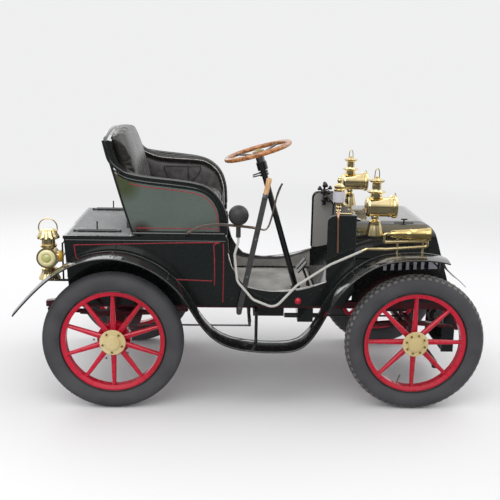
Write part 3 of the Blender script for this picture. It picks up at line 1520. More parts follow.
@dataclass
class BodyTrim:
    """Coach lines, edge mouldings, sill piping and the floor mat."""

    side_y: float = 0.420
    line_width: float = 0.0055
    frame_lines: tuple[tuple[Pair, ...], ...] = (
        ((-0.220, 0.884), (0.523, 0.905), (0.540, 0.888), (0.546, 0.780), (0.546, 0.662)),
        ((0.322, 0.694), (0.533, 0.687)),
        ((-0.220, 0.884), (-0.216, 0.850), (-0.209, 0.805)),
    )
    front_line: tuple[Pair, ...] = ((0.594, 0.900), (0.596, 0.730), (0.593, 0.565))
    top_ledge: tuple[Pair, ...] = ((-0.268, 0.930), (0.100, 0.930), (0.350, 0.930), (0.604, 0.930))
    sill: tuple[Pair, ...] = (
        (0.620, 0.846), (0.634, 0.790), (0.656, 0.725), (0.692, 0.664), (0.733, 0.640), (0.790, 0.630),
        (0.860, 0.628), (0.967, 0.638), (1.060, 0.655), (1.150, 0.680), (1.186, 0.689),
    )
    scoop: tuple[Pair, ...] = ((0.612, 0.928), (0.616, 0.890), (0.620, 0.846))
    mat_ends: Pair = (0.640, 1.130)
    mat_half: float = 0.335
    mat_top: float = 0.5650
    mat_swell: float = 0.0045
    tail_line: tuple[Pair, ...] = ((-0.2665, 0.926), (-0.258, 0.808), (-0.2485, 0.690))
    tail_rows: tuple[float, ...] = (-0.412, -0.2, 0.0, 0.2, 0.412)

    def build(self, car: Car) -> None:
        """Make the body's trim.

        Args:
            car: the car.
        """
        for side, hand in SIDES:
            self.lines(car, side, hand)
            self.edges(car, side, hand)
        mat = self.mat(car)
        self.tail_edges(car)

    def lines(self, car: Car, side: int, hand: str) -> None:
        """The painted red lines on one side.

        Args:
            car: the car.
            side: -1 for the near side.
            hand: right or left.
        """
        shape = Shape()
        out = Vector((0.0, float(side), 0.0))
        y = side * self.side_y
        for run in (*self.frame_lines, self.front_line):
            steps = 4 if len(run) > 3 else 2
            shape.strip(curve_through(car.line(run, y), steps), self.line_width, out, 0.0004)
        shape.place(f"coach_lines_{hand}", Palette.LINE_RED, "chassis", "red_paint")

    def edges(self, car: Car, side: int, hand: str) -> None:
        """The ledge under the deck, the bead down the body's front edge and the doorway's pale piping.

        Args:
            car: the car.
            side: -1 for the near side.
            hand: right or left.
        """
        shape = Shape()
        y = side * (self.side_y - 0.0035)
        shape.tube(car.line(self.top_ledge, y), 0.0075, 12)
        shape.tube(car.line([(x, z - 0.018) for x, z in self.top_ledge], y + side * 0.0015), 0.0032, 8)
        shape.tube(curve_through(car.line(self.scoop, y), 4), 0.006, 10)
        shape.place(f"body_mouldings_{hand}", Palette.BLACK, "chassis", "black_paint")
        sill = curve_through(car.line(self.sill, side * (self.side_y - 0.004)), 8)
        Shape().tube(sill, 0.0032, 10).place(
            f"sill_piping_{hand}", Palette.PALE_PIPING, "chassis", "black_paint",
        )

    def tail_edges(self, car: Car) -> None:
        """The beads on the body's two rear corners and over its back.

        Args:
            car: the car.
        """
        shape = Shape()
        for side, _ in SIDES:
            y = side * (self.side_y - 0.006)
            shape.tube(car.line(self.tail_line, y), 0.0055, 10)
        shape.tube([car.at(-0.270, y, 0.930) for y in self.tail_rows], 0.0075, 12)
        shape.place("tail_mouldings", Palette.BLACK, "chassis", "black_paint")

    def mat(self, car: Car) -> bpy.types.Object:
        """The floor mat with the soft folds of use and a bound edge.

        Args:
            car: the car.

        Returns:
            The mat.
        """
        columns, rows = 42, 30
        start, end = self.mat_ends
        top, under = [], []
        for i in range(columns + 1):
            x = start + (end - start) * i / columns
            up, low = [], []
            for j in range(rows + 1):
                y = -self.mat_half + 2 * self.mat_half * j / rows
                fold = noise.noise(Vector((x * 6.0, y * 3.0, 0.4)))
                fold += 0.5 * noise.noise(Vector((x * 19.0, y * 5.0, 2.0)))
                edge = min(1.0, 8 * min(j, rows - j) / rows, 10 * min(i, columns - i) / columns)
                up.append(car.at(x, y, self.mat_top + self.mat_swell * max(0.0, 0.5 + 0.5 * fold) * edge))
                low.append(car.at(x, y, self.mat_top - 0.003))
            top.append(up)
            under.append(low)
        shape = Shape()
        shape.ring_loft([up + low[::-1] for up, low in zip(top, under)])
        rim = [*top[0], *(row[-1] for row in top[1:]), *top[-1][-2::-1], *(row[0] for row in top[-2:0:-1])]
        shape.tube(rim, 0.004, 8, closed=True)
        return shape.place("floor_mat", Palette.MAT, "chassis", "leather", smooth=60.0)


@dataclass
class DeckFittings:
    """The deck's grey covering and the screw plates of its bars."""

    deck: float = 0.937
    bar_x: float = -0.106
    bar_y: float = 0.330
    bar_half: float = 0.118
    covering: tuple[Pair, ...] = (
        (-0.262, 0.396), (-0.256, 0.404), (0.000, 0.404), (0.074, 0.404), (0.080, 0.398),
    )
    plate: tuple[Pair, ...] = ((0.016, 0.0), (0.016, 0.002), (0.012, 0.0035), (0.0, 0.0035))

    def build(self, car: Car) -> None:
        """Dress the deck."""
        self.linoleum(car)
        self.straps(car)

    def linoleum(self, car: Car) -> None:
        """The thin grey covering of the deck.

        Args:
            car: the car.
        """
        rings = []
        low, high = self.deck - 0.001, self.deck + 0.0016
        for x, half in self.covering:
            rings.append([
                car.at(x, -half, low), car.at(x, half, low), car.at(x, half, high), car.at(x, -half, high),
            ])
        Shape().ring_loft(rings).place(
            "deck_covering", Palette.DECK, "chassis", "body_paint", smooth=30.0, bevel=0.0005,
        )

    def straps(self, car: Car) -> None:
        """Screw plates under the bars' ends.

        Args:
            car: the car.
        """
        shape = Shape()
        for side in (-1, 1):
            for x in (self.bar_x - self.bar_half * 0.5, self.bar_x + self.bar_half * 0.5):
                foot = car.at(x, side * self.bar_y, self.deck + 0.0012)
                shape.lathe(foot, UP, self.plate, 24)
        shape.place("bar_plates", Palette.STEEL, "chassis", "steel")


@dataclass
class MudguardTrim:
    """The rivet heads of the mudguards."""

    rivets: tuple[float, ...] = (-0.30, 0.0, 0.30, 1.30, 1.55)
    rows: tuple[float, ...] = (0.475, 0.505, 0.555, 0.585)
    head: tuple[Pair, ...] = ((0.0055, -0.001), (0.0050, 0.001), (0.0030, 0.0024), (0.0, 0.0028))

    def build(self, car: Car) -> None:
        """Dress the mudguards."""
        for side, hand in SIDES:
            self.rivet_heads(car, side, hand)

    def rivet_heads(self, car: Car, side: int, hand: str) -> None:
        """Rivet heads over the irons, set down on the sheet by casting a ray.

        Args:
            car: the car.
            side: -1 for the near side.
            hand: right or left.
        """
        guard = car.frame["nodes"][f"mudguard_{hand}"]
        shape = Shape()
        for x in self.rivets:
            for y in self.rows:
                hit, spot, normal, _ = guard.ray_cast(car.at(x, side * y, 1.2), -UP)
                if hit:
                    shape.lathe(spot, normal, self.head, 12)
        shape.place(f"mudguard_rivets_{hand}", Palette.BLACK, "chassis", "black_paint")


@dataclass
class BonnetTrim:
    """The louvre hoods and the catch straps of the bonnet."""

    side_y: float = 0.330
    louvre_x: tuple[float, ...] = (1.5305, 1.5735, 1.6165, 1.6595, 1.7025, 1.7455)
    louvre_z: Pair = (0.742, 0.788)
    louvre_half: float = 0.0115
    hood_depth: float = 0.006
    strap_x: float = 1.610
    strap_width: float = 0.016
    strap_depth: float = 0.0035
    handle: float = 0.022

    def build(self, car: Car) -> None:
        """Dress the bonnet.

        Args:
            car: the car.
        """
        for side, hand in SIDES:
            self.louvres(car, side, hand)
            self.catch(car, side, hand)

    def louvres(self, car: Car, side: int, hand: str) -> None:
        """The pressed hoods beside the louvre slots.

        Args:
            car: the car.
            side: -1 for the near side.
            hand: right or left.
        """
        shape = Shape()
        low, high = self.louvre_z
        for x in self.louvre_x:
            rings = []
            for step in range(9):
                t = step / 8
                z = low + (high - low) * t
                bulge = math.sin(t * math.pi) ** 0.6
                y = side * (self.side_y + self.hood_depth * bulge)
                base = side * (self.side_y - 0.001)
                rear = x - self.louvre_half - 0.004
                rings.append([
                    car.at(rear, base, z), car.at(rear + 0.010, y, z), car.at(rear + 0.0115, y, z),
                    car.at(rear + 0.0115, base, z),
                ])
            shape.ring_loft(rings)
        shape.place(f"louvre_hoods_{hand}", Palette.BLACK, "chassis", "black_paint", smooth=40.0)

    def catch(self, car: Car, side: int, hand: str) -> None:
        """The black iron catch with its T handle, laid on the lid by casting rays.

        Args:
            car: the car.
            side: -1 for the near side.
            hand: right or left.
        """
        lid = car.frame["nodes"]["bonnet_lid"]
        shape = Shape()
        spots = []
        for step in range(15):
            x = self.strap_x - 0.05 + 0.11 * step / 14
            start = car.at(x, side * (self.side_y + 0.08), 1.20)
            aim = (car.at(x, side * (self.side_y - 0.11), 0.93) - start).normalized()
            hit, spot, normal, _ = lid.ray_cast(start, aim)
            if hit:
                spots.append((spot, normal))
        if len(spots) > 2:
            out = sum((normal for _, normal in spots), Vector()).normalized()
            strap = [spot - out * 0.0008 for spot, _ in spots]
            shape.strip(strap, self.strap_width, out, self.strap_depth)
            middle, normal = spots[len(spots) // 2]
            head = middle + normal * self.handle
            stem = [middle - normal * 0.002, middle + normal * 0.010, head]
            shape.tube(stem, (0.006, 0.0042, 0.005), 12)
            along = Vector((0.020, 0.0, 0.0))
            shape.tube([head - along, head - along * 0.5, head, head + along * 0.5, head + along],
                       (0.0025, 0.0048, 0.0042, 0.0048, 0.0025), 12)
        shape.place(f"bonnet_catch_{hand}", Palette.IRON_BLACK, "bonnet", "black_paint")


@dataclass
class Headlamps:
    """The two brass lamps: barrel, pagoda chimney, ball neck, fluted bell base, fin and tall bail."""

    lamp_x: float = 1.413
    lamp_y: float = 0.460
    base: float = 0.9663
    axis_z: float = 1.122
    bell: tuple[Pair, ...] = (
        (0.044, 0.000), (0.0465, 0.003), (0.0455, 0.008), (0.0405, 0.030), (0.0350, 0.055), (0.0300, 0.072),
        (0.0310, 0.076), (0.0250, 0.080), (0.0150, 0.083),
    )
    neck: tuple[Pair, ...] = (
        (0.012, 0.080), (0.016, 0.084), (0.0205, 0.092), (0.0215, 0.100), (0.0195, 0.108), (0.015, 0.114),
        (0.020, 0.118), (0.022, 0.126),
    )
    barrel: tuple[Pair, ...] = (
        (0.0, -0.0600), (0.014, -0.0598), (0.020, -0.0560), (0.036, -0.0550), (0.0480, -0.0500),
        (0.0530, -0.0420), (0.0545, -0.0360), (0.0525, -0.0330), (0.0525, 0.0680), (0.0550, 0.0700),
        (0.0550, 0.0740), (0.0530, 0.0760), (0.0530, 0.0860), (0.0590, 0.0900), (0.0605, 0.0960),
        (0.0600, 0.1080), (0.0560, 0.1130), (0.0500, 0.1140), (0.0490, 0.1100), (0.0490, 0.0960),
        (0.0400, 0.0930), (0.0, 0.0925),
    )
    chimney: tuple[Pair, ...] = (
        (0.030, 0.206), (0.031, 0.214), (0.028, 0.222), (0.030, 0.228), (0.040, 0.231), (0.0485, 0.237),
        (0.0500, 0.241), (0.0470, 0.240), (0.036, 0.238), (0.028, 0.243), (0.0250, 0.252), (0.0235, 0.262),
        (0.0260, 0.268), (0.0240, 0.274), (0.0240, 0.286), (0.0330, 0.290), (0.0420, 0.296), (0.0445, 0.301),
        (0.0400, 0.300), (0.0290, 0.303), (0.0200, 0.308), (0.0100, 0.311), (0.0070, 0.314), (0.0095, 0.319),
        (0.0, 0.323),
    )
    lens: tuple[Pair, ...] = ((0.0488, 0.101), (0.040, 0.1045), (0.020, 0.1075), (0.0, 0.1085))
    bail_half: float = 0.0125
    bail_low: float = 1.268
    bail_high: float = 1.331

    def build(self, car: Car) -> None:
        """Make both lamps.

        Args:
            car: the car.
        """
        for side, hand in SIDES:
            self.brass(car, side, hand)
        lens = Shape()
        for side, _ in SIDES:
            lens.lathe(self.centre(car, side), AHEAD, self.lens, 48)
        lens.place("headlamp_lenses", Palette.GLASS, "chassis", "lamp_glass", ["lamp_glass"], smooth=60.0)

    def centre(self, car: Car, side: int) -> Vector:
        """The middle of one lamp's barrel."""
        return car.at(self.lamp_x, side * self.lamp_y, self.axis_z)

    def brass(self, car: Car, side: int, hand: str) -> None:
        """The turned brass of one lamp with its bail and fin.

        Args:
            car: the car.
            side: -1 for the near lamp.
            hand: right or left.
        """
        foot, centre = car.at(self.lamp_x, side * self.lamp_y, self.base), self.centre(car, side)
        shape = Shape()
        shape.lathe(foot, UP, self.bell, 90, flutes=(9, 0.07))
        shape.lathe(foot, UP, self.neck, 40)
        shape.lathe(foot, UP, self.chimney, 96, flutes=(12, 0.045))
        shape.lathe(centre, AHEAD, self.barrel, 64)
        fin = centre + Vector((0.104, 0.0, 0.058))
        shape.tube([fin, fin + Vector((0.001, 0.0, 0.008)), fin + Vector((-0.003, 0.0, 0.020))],
                   (0.0065, 0.0045, 0.0020), 10)
        shape.tube([fin + Vector((-0.026, 0.0, -0.004)), fin + Vector((-0.020, 0.0, 0.004))],
                   (0.0050, 0.0030), 8)
        points = []
        for i in range(21):
            turn = math.pi * i / 20
            points.append(car.at(
                self.lamp_x - math.cos(turn) * self.bail_half, side * self.lamp_y,
                self.bail_low + (self.bail_high - self.bail_low) * math.sin(turn) ** 0.55,
            ))
        shape.tube(points, 0.0026, 10)
        shape.place(
            f"lamp_brass_{hand}", Palette.BRASS, "chassis", "brass", [f"headlamp_{hand}"], smooth=42.0,
        )


@dataclass
class TailLamp:
    """Dressing of the tail lamp: fluted crown and bell, bezel, clear lens and amber side lens."""

    x: float = -0.368
    y: float = -0.372
    base: float = 0.682
    drum_z: float = 0.810
    crown: tuple[Pair, ...] = (
        (0.036, 0.182), (0.035, 0.226), (0.058, 0.229), (0.061, 0.235), (0.055, 0.246), (0.048, 0.260),
        (0.043, 0.272), (0.036, 0.278), (0.020, 0.280), (0.0, 0.281),
    )
    bell: tuple[Pair, ...] = (
        (0.058, 0.0), (0.060, 0.003), (0.054, 0.014), (0.046, 0.030), (0.040, 0.048), (0.043, 0.054),
        (0.043, 0.060), (0.036, 0.064),
    )
    bezel: tuple[Pair, ...] = (
        (0.022, 0.050), (0.045, 0.050), (0.048, 0.056), (0.046, 0.063), (0.041, 0.067), (0.030, 0.069),
        (0.024, 0.065),
    )
    lens: tuple[Pair, ...] = ((0.026, 0.058), (0.024, 0.065), (0.017, 0.070), (0.009, 0.0725), (0.0, 0.0735))
    amber: tuple[Pair, ...] = ((0.034, 0.058), (0.033, 0.068), (0.022, 0.078), (0.0, 0.082))

    def build(self, car: Car) -> None:
        """Dress the lamp.

        Args:
            car: the car.
        """
        foot, drum = car.at(self.x, self.y, self.base), car.at(self.x, self.y, self.drum_z)
        brass = Shape()
        brass.lathe(foot, UP, self.crown, 96, flutes=(12, 0.10))
        brass.lathe(foot, UP, self.bell, 96, flutes=(12, 0.05))
        Shape().lathe(drum, NEAR, self.bezel, 56, closed=True).place(
            "tail_lamp_bezel", Palette.PALE_BRASS, "chassis", "brass", smooth=50.0,
        )
        for rise in (0.180, 0.196):
            brass.hoop(foot + UP * rise, UP, 0.040, 0.0025, 48, 8)
        brass.place("tail_lamp_brass", Palette.BRASS, "chassis", "brass", smooth=50.0)
        Shape().lathe(drum, NEAR, self.lens, 40).place(
            "tail_lamp_lens", Palette.PALE_LENS, "chassis", "lamp_glass", smooth=60.0,
        )
        Shape().lathe(drum, AHEAD, self.amber, 32).place(
            "tail_lamp_amber", Palette.AMBER, "chassis", "lamp_glass", smooth=60.0,
        )


@dataclass
class Lubricator:
    """The drip lubricator's milled cap, ribbed stem and milk glass, and the copper pipe over the wing."""

    x: float = 1.236
    y: float = -0.300
    cap: tuple[Pair, ...] = (
        (0.027, 1.178), (0.030, 1.181), (0.030, 1.188), (0.026, 1.192), (0.029, 1.197), (0.029, 1.209),
        (0.022, 1.214), (0.012, 1.220), (0.010, 1.230), (0.014, 1.236), (0.014, 1.243), (0.009, 1.250),
        (0.005, 1.258), (0.0, 1.261),
    )
    foot: tuple[Pair, ...] = (
        (0.008, 1.044), (0.013, 1.046), (0.013, 1.056), (0.010, 1.060), (0.015, 1.066), (0.015, 1.072),
        (0.011, 1.076), (0.016, 1.084), (0.016, 1.092), (0.012, 1.097), (0.020, 1.106), (0.028, 1.113),
        (0.029, 1.120), (0.026, 1.123),
    )
    pipe: tuple[Point, ...] = (
        (1.236, -0.300, 1.050), (1.232, -0.330, 1.071), (1.222, -0.400, 1.071), (1.218, -0.426, 1.060),
        (1.2175, -0.4315, 1.030), (1.220, -0.4315, 0.940), (1.222, -0.4310, 0.858),
    )
    pipe_radius: float = 0.0062
    milk: tuple[Pair, ...] = (
        (0.026, 1.120), (0.0335, 1.120), (0.034, 1.150), (0.0335, 1.180), (0.026, 1.180), (0.0255, 1.150),
    )

    def build(self, car: Car) -> None:
        """Make the fittings and the copper pipe.

        Args:
            car: the car.
        """
        axis = car.at(self.x, self.y, 0.0)
        brass = Shape()
        brass.lathe(axis, UP, self.cap, 96, flutes=(24, 0.03))
        brass.lathe(axis, UP, self.foot, 48)
        brass.place("lubricator_fittings", Palette.BRASS, "chassis", "brass", smooth=50.0)
        Shape().lathe(axis, UP, self.milk, 48, closed=True).place(
            "lubricator_milk_glass", Palette.MILK, "chassis", "lamp_glass", ["lubricator_glass"], smooth=50.0,
        )
        Shape().tube(curve_through([car.at(*spot) for spot in self.pipe], 6), self.pipe_radius, 12).place(
            "oil_pipe", Palette.COPPER, "chassis", "brass", smooth=50.0,
        )


@dataclass
class Horn:
    """The bulb's seam and neck ring, and the trumpet's rolled bell."""

    bulb: Point = (0.674, -0.470, 1.068)
    bulb_radius: float = 0.0555
    neck: tuple[Pair, ...] = ((0.016, -0.062), (0.019, -0.060), (0.019, -0.052), (0.0155, -0.048))
    bell_start: Point = (1.500, -0.470, 0.975)
    bell: tuple[Pair, ...] = (
        (0.0140, 0.000), (0.0175, 0.006), (0.0205, 0.020), (0.0225, 0.045), (0.0250, 0.080), (0.0265, 0.104),
        (0.0292, 0.107), (0.0292, 0.113), (0.0272, 0.116), (0.0292, 0.150), (0.0320, 0.184), (0.0355, 0.206),
        (0.0378, 0.213), (0.0372, 0.216), (0.0345, 0.212), (0.0300, 0.180), (0.0100, 0.150),
    )

    def build(self, car: Car) -> None:
        """Dress the horn.

        Args:
            car: the car.
        """
        centre = car.at(*self.bulb)
        Shape().hoop(centre, UP, self.bulb_radius, 0.0012, 64, 6).place(
            "bulb_seam", Palette.BULB, "chassis", "tyre_rubber",
        )
        Shape().lathe(centre, UP, self.neck, 32).place("bulb_ring", Palette.DULL_BRASS, "chassis", "brass")
        Shape().lathe(car.at(*self.bell_start), AHEAD, self.bell, 64).place(
            "trumpet_bell", Palette.HORN_BRASS, "chassis", "brass", smooth=40.0,
        )


@dataclass
class SteeringWheel:
    """Wooden rim over the wheel's core, with a turned hub cap."""

    centre: Point = (0.783, -0.200, 1.385)
    tilt: float = 16.5
    rim_radius: float = 0.1835
    grip: float = 0.0134
    hub: tuple[Pair, ...] = (
        (0.026, -0.030), (0.030, -0.026), (0.030, -0.014), (0.027, -0.010), (0.034, -0.004), (0.034, 0.000),
        (0.020, 0.004), (0.014, 0.010), (0.011, 0.012), (0.0, 0.013),
    )

    def build(self, car: Car) -> None:
        """Make the rim and the hub.

        Args:
            car: the car.
        """
        angle = math.radians(self.tilt)
        axis = Vector((-math.sin(angle), 0.0, math.cos(angle)))
        centre = car.at(*self.centre)
        Shape().hoop(centre, axis, self.rim_radius, self.grip, 128, 20).place(
            "wheel_rim_wood", Palette.WOOD, "steering", "wood_rim", smooth=60.0,
        )
        Shape().lathe(centre, axis, self.hub, 40).place(
            "wheel_hub_cap", Palette.DULL_BRASS, "steering", "brass",
        )


@dataclass
class Levers:
    """The brake lever's turned grip, its ferrule and its nuts."""

    foot: Point = (0.684, -0.456, 0.522)
    top: Point = (0.819, -0.456, 1.184)
    grip: tuple[Pair, ...] = (
        (0.0125, -0.004), (0.0138, 0.004), (0.0142, 0.020), (0.0132, 0.036), (0.0140, 0.052), (0.0150, 0.066),
        (0.0152, 0.076), (0.0138, 0.084), (0.0100, 0.088), (0.0, 0.0895),
    )
    ferrule: tuple[Pair, ...] = ((0.0145, -0.024), (0.0152, -0.021), (0.0152, -0.003), (0.0145, 0.000))

    def build(self, car: Car) -> None:
        """Make the lever's parts.

        Args:
            car: the car.
        """
        foot, top = car.at(*self.foot), car.at(*self.top)
        along = (top - foot).normalized()
        Shape().lathe(top, along, self.grip, 28).place(
            "lever_grip", Palette.GRIP, "chassis", "wood_rim", smooth=50.0,
        )
        metal = Shape()
        metal.lathe(top, along, self.ferrule, 28)
        for share in (0.03, 0.30, 0.62):
            metal.bolt(foot.lerp(top, share) - Vector((0.0, 0.0045, 0.0)), NEAR, 0.0070, 0.0045)
        metal.place("lever_ferrule", Palette.STEEL, "chassis", "steel")


@dataclass
class CockpitTrim:
    """Grey lining of the far side and the piping along its top."""

    far_y: float = 0.3995
    far_top: tuple[Pair, ...] = (
        (0.660, 0.646), (0.720, 0.632), (0.794, 0.621), (0.890, 0.619), (0.985, 0.623), (1.090, 0.652),
        (1.160, 0.676),
    )
    floor_z: float = 0.566
    lining: float = 0.0022

    def build(self, car: Car) -> None:
        """Line the far side and edge it.

        Args:
            car: the car.
        """
        shape = Shape()
        rings = []
        for point in curve_through(car.line(self.far_top, self.far_y), 6):
            inner = point.y - self.lining
            rings.append([
                Vector((point.x, point.y, self.floor_z)), Vector((point.x, inner, self.floor_z)),
                Vector((point.x, inner, point.z)), point,
            ])
        shape.ring_loft(rings)
        shape.place("far_side_lining", Palette.MAT, "chassis", "leather", smooth=40.0)
        Shape().tube(curve_through(car.line(self.far_top, self.far_y - 0.002), 6), 0.0042, 8).place(
            "far_side_piping", Palette.PIPING, "chassis", "leather",
        )


@dataclass
class FrontApron:
    """The sloping apron below the bonnet's nose."""

    slope: tuple[Pair, ...] = ((1.842, 0.806), (1.868, 0.748), (1.900, 0.706), (1.948, 0.672), (1.990, 0.632))
    half: float = 0.305
    sheet: float = 0.003

    def build(self, car: Car) -> None:
        """Make the apron's sheet.

        Args:
            car: the car.
        """
        line = curve_through(car.line(self.slope, 0.0), 5)
        rings = []
        for i, point in enumerate(line):
            along = (line[min(i + 1, len(line) - 1)] - line[max(i - 1, 0)]).normalized()
            under = Vector((along.z, 0.0, -along.x)) * self.sheet
            across = Vector((0.0, self.half, 0.0))
            rings.append([point - across, point + across, point + across + under, point - across + under])
        Shape().ring_loft(rings).place("front_apron", Palette.APRON, "chassis", "red_paint", smooth=30.0)


@dataclass
class Underside:
    """The red boss and the bolts low on the body's near side."""

    boss: Point = (1.013, -0.4200, 0.576)
    boss_profile: tuple[Pair, ...] = (
        (0.019, -0.002), (0.019, 0.006), (0.015, 0.013), (0.007, 0.018), (0.0, 0.019),
    )
    bolt_y: float = -0.4195
    bolts: tuple[Pair, ...] = ((0.645, 0.584), (0.735, 0.590), (1.080, 0.612), (1.140, 0.640))

    def build(self, car: Car) -> None:
        """Make the boss and the bolts.

        Args:
            car: the car.
        """
        Shape().lathe(car.at(*self.boss), NEAR, self.boss_profile, 32).place(
            "red_boss", Palette.RED, "chassis", "red_paint", smooth=50.0,
        )
        iron = Shape()
        for x, z in self.bolts:
            iron.bolt(car.at(x, self.bolt_y, z), NEAR, 0.0080, 0.0050)
        iron.place("body_bolts", Palette.IRON_BLACK, "chassis", "black_paint")


@dataclass
class HornStrap:
    """The flat brown strap that carries the bulb."""

    spine: tuple[Pair, ...] = (
        (0.392, 0.956), (0.430, 0.979), (0.477, 0.998), (0.560, 1.009), (0.640, 1.006), (0.705, 1.000),
        (0.775, 0.992), (0.822, 0.985), (0.848, 1.030), (0.874, 1.143), (0.908, 1.238),
    )
    y: float = -0.4345
    width: float = 0.0155
    thickness: float = 0.0036
    bolts: tuple[Pair, ...] = ((0.405, 0.964), (0.674, 1.002))

    def build(self, car: Car) -> None:
        """Make the strap.

        Args:
            car: the car.
        """
        shape = Shape()
        line = curve_through(car.line(self.spine, self.y - self.thickness / 2), 6)
        wide = int(len(line) * 0.62)
        shape.strip(line[:wide], self.width, NEAR, self.thickness)
        rod = line[wide - 3:]
        shape.tube(rod, [0.0062 - 0.0036 * i / (len(rod) - 1) for i in range(len(rod))], 12)
        for x, z in self.bolts:
            shape.bolt(car.at(x, self.y - self.thickness, z), NEAR, 0.0075, 0.005)
        shape.place("bulb_strap", Palette.TAN_STEEL, "chassis", "steel")


@dataclass
class DashTrim:
    """Pale linings inside the far wing, the edge beads of both wings, and the black tap on the far one."""

    rear: float = 1.168
    front: float = 1.298
    top: float = 1.062
    foot: float = 0.700
    far_y: float = 0.3995
    near_y: float = 0.4200
    tap: Point = (1.235, 0.360, 1.062)
    rings: tuple[Point, ...] = (
        (-0.030, 0.030, 0.013), (0.004, 0.052, 0.016), (0.036, 0.034, 0.012), (-0.012, 0.008, 0.014),
        (0.026, 0.004, 0.013), (0.010, -0.026, 0.015), (0.028, -0.050, 0.011),
    )

    wing_edge: tuple[Pair, ...] = (
        (1.168, 0.700), (1.168, 0.980), (1.168, 1.024), (1.178, 1.050), (1.202, 1.0605), (1.260, 1.0615),
        (1.318, 1.0615),
    )
    front_edge: tuple[Pair, ...] = ((1.317, 1.055), (1.317, 0.90), (1.317, 0.745))
    tap_foot: float = 0.985
    tap_stem: tuple[Pair, ...] = (
        (0.012, 0.0), (0.012, 0.02), (0.020, 0.026), (0.020, 0.034), (0.010, 0.040), (0.009, 0.074),
        (0.016, 0.080), (0.016, 0.092), (0.008, 0.098), (0.007, 0.128), (0.011, 0.134), (0.010, 0.144),
        (0.0, 0.152),
    )
    tap_pipe: tuple[Point, ...] = ((1.300, 0.352, 0.990), (1.268, 0.352, 1.020), (1.240, 0.356, 1.050))

    def build(self, car: Car) -> None:
        """Make the lining, the beads and the tap.

        Args:
            car: the car.
        """
        lining = Shape()
        lining.ring_loft([
            [car.at(x, self.far_y - 0.002, low), car.at(x, self.far_y + 0.0004, low),
             car.at(x, self.far_y + 0.0004, high), car.at(x, self.far_y - 0.002, high)]
            for x, low, high in (
                (self.rear + 0.006, self.foot, self.top - 0.036),
                (self.rear + 0.016, self.foot, self.top - 0.014),
                (self.rear + 0.036, self.foot, self.top - 0.005),
                (self.front, self.foot + 0.020, self.top - 0.005),
            )
        ])
        lining.place("far_wing_lining", Palette.PALE_LINING, "chassis", "body_paint", smooth=30.0)
        beads = Shape()
        for side, _ in SIDES:
            y = side * (self.near_y - 0.003)
            beads.tube(curve_through(car.line(self.wing_edge, y), 5), 0.0048, 10)
            beads.tube(car.line(self.front_edge, y), 0.0060, 10)
        beads.place("wing_beads", Palette.BLACK, "chassis", "black_paint")
        self.build_tap(car)

    def build_tap(self, car: Car) -> None:
        """Make the black tap with its lobed handles, which stands for the plain box.

        Args:
            car: the car.
        """
        tap = Shape()
        x, y, z = self.tap
        tap.lathe(car.at(x, y, self.tap_foot), UP, self.tap_stem, 24)
        for along, rise, size in self.rings:
            spot = car.at(x + along, y - 0.010, z + rise)
            lobe = (
                (size, 0.0), (size * 1.08, 0.004), (size * 0.8, 0.012), (size * 0.35, 0.016), (0.0, 0.017),
            )
            tap.lathe(spot - NEAR * 0.006, NEAR, lobe, 30, flutes=(3, 0.35))
            tap.tube([spot, car.at(x, y, z + rise * 0.4)], 0.0042, 8)
        tap.tube([car.at(*place) for place in self.tap_pipe], 0.0050, 10)
        tap.place("dash_tap", Palette.IRON_BLACK, "chassis", "black_paint", ["switch_box"], smooth=40.0)


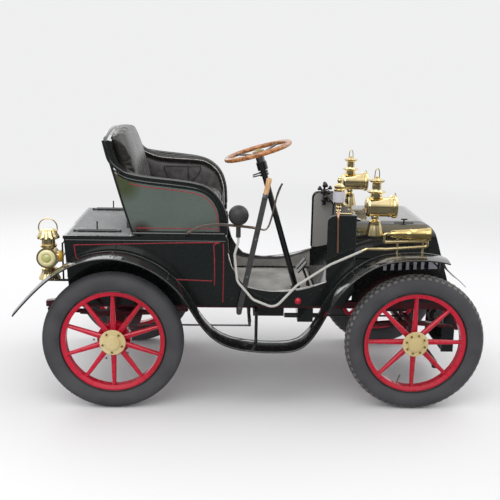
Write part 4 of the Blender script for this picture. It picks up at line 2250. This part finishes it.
@dataclass
class BonnetBands:
    """Olive bands along the bonnet's shoulders and the pale strips between its louvre slots."""

    side_y: float = 0.330
    band_x: Pair = (1.345, 1.800)
    band_steps: int = 40
    angles: tuple[float, ...] = (28.0, 35.0, 42.0, 49.0, 56.0)
    corner: float = 0.095
    top: float = 1.004
    strip_ends: Pair = (1.500, 1.815)
    strip_z: Pair = (0.733, 0.797)
    strip_rise: float = 0.04
    slot_half: float = 0.0125

    def build(self, car: Car) -> None:
        """Make the bands and the strips.

        Args:
            car: the car.
        """
        lid = car.frame["nodes"]["bonnet_lid"]
        for side, hand in SIDES:
            shape = Shape()
            rows = []
            for step in range(self.band_steps + 1):
                x = self.band_x[0] + (self.band_x[1] - self.band_x[0]) * step / self.band_steps
                row = []
                for angle in self.angles:
                    turn = math.radians(angle)
                    aim = Vector((0.0, side * math.cos(turn), math.sin(turn)))
                    core = car.at(x, side * (self.side_y - self.corner), self.top - self.corner)
                    hit, spot, _, _ = lid.ray_cast(core + aim * 0.3, -aim)
                    if hit:
                        row.append((spot + aim * 0.0006, spot - aim * 0.0010))
                if len(row) == len(self.angles):
                    rows.append([outer for outer, _ in row] + [inner for _, inner in reversed(row)])
            if len(rows) > 1:
                shape.ring_loft(rows)
                shape.place(f"shoulder_band_{hand}", Palette.OLIVE, "bonnet", "body_paint", smooth=40.0)
            self.louvre_panel(car, side, hand)

    def louvre_panel(self, car: Car, side: int, hand: str) -> None:
        """The pale strips between the louvre slots, laid on the bonnet's side.

        Args:
            car: the car.
            side: -1 for the near side.
            hand: right or left.
        """
        shape = Shape()
        slots = [x + half for x in BonnetTrim.louvre_x for half in (-self.slot_half, self.slot_half)]
        edges = [self.strip_ends[0], *slots, self.strip_ends[1]]
        face, back = side * (self.side_y + 0.0008), side * (self.side_y - 0.0010)
        for start, end in zip(edges[::2], edges[1::2]):
            rings = []
            for x in (start, (start + end) / 2, end):
                low, high = self.strip_z[0] + (x - self.strip_ends[0]) * self.strip_rise, self.strip_z[1]
                rings.append([
                    car.at(x, back, low), car.at(x, face, low), car.at(x, face, high), car.at(x, back, high),
                ])
            shape.ring_loft(rings)
        shape.place(f"louvre_strips_{hand}", Palette.LOUVRE_PANEL, "chassis", "black_paint", smooth=30.0)


def main() -> None:
    """Load the frame, build each sub-assembly in order and note the sizes."""
    logging.basicConfig(level=logging.INFO, format="%(name)s: %(message)s")
    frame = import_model()
    car = Car(frame)
    Studio().build()
    BareNodes().build(car)
    assemblies = (
        Tyres(), WheelTrim(), SeatCovers(), SeatPanels(), BodyTrim(), DeckFittings(), MudguardTrim(),
        BonnetTrim(), Headlamps(), TailLamp(), Lubricator(), Horn(), SteeringWheel(), Levers(), CockpitTrim(),
        FrontApron(), Underside(), HornStrap(), DashTrim(), BonnetBands(),
    )
    for assembly in assemblies:
        assembly.build(car)


if __name__ == "__main__":
    main()
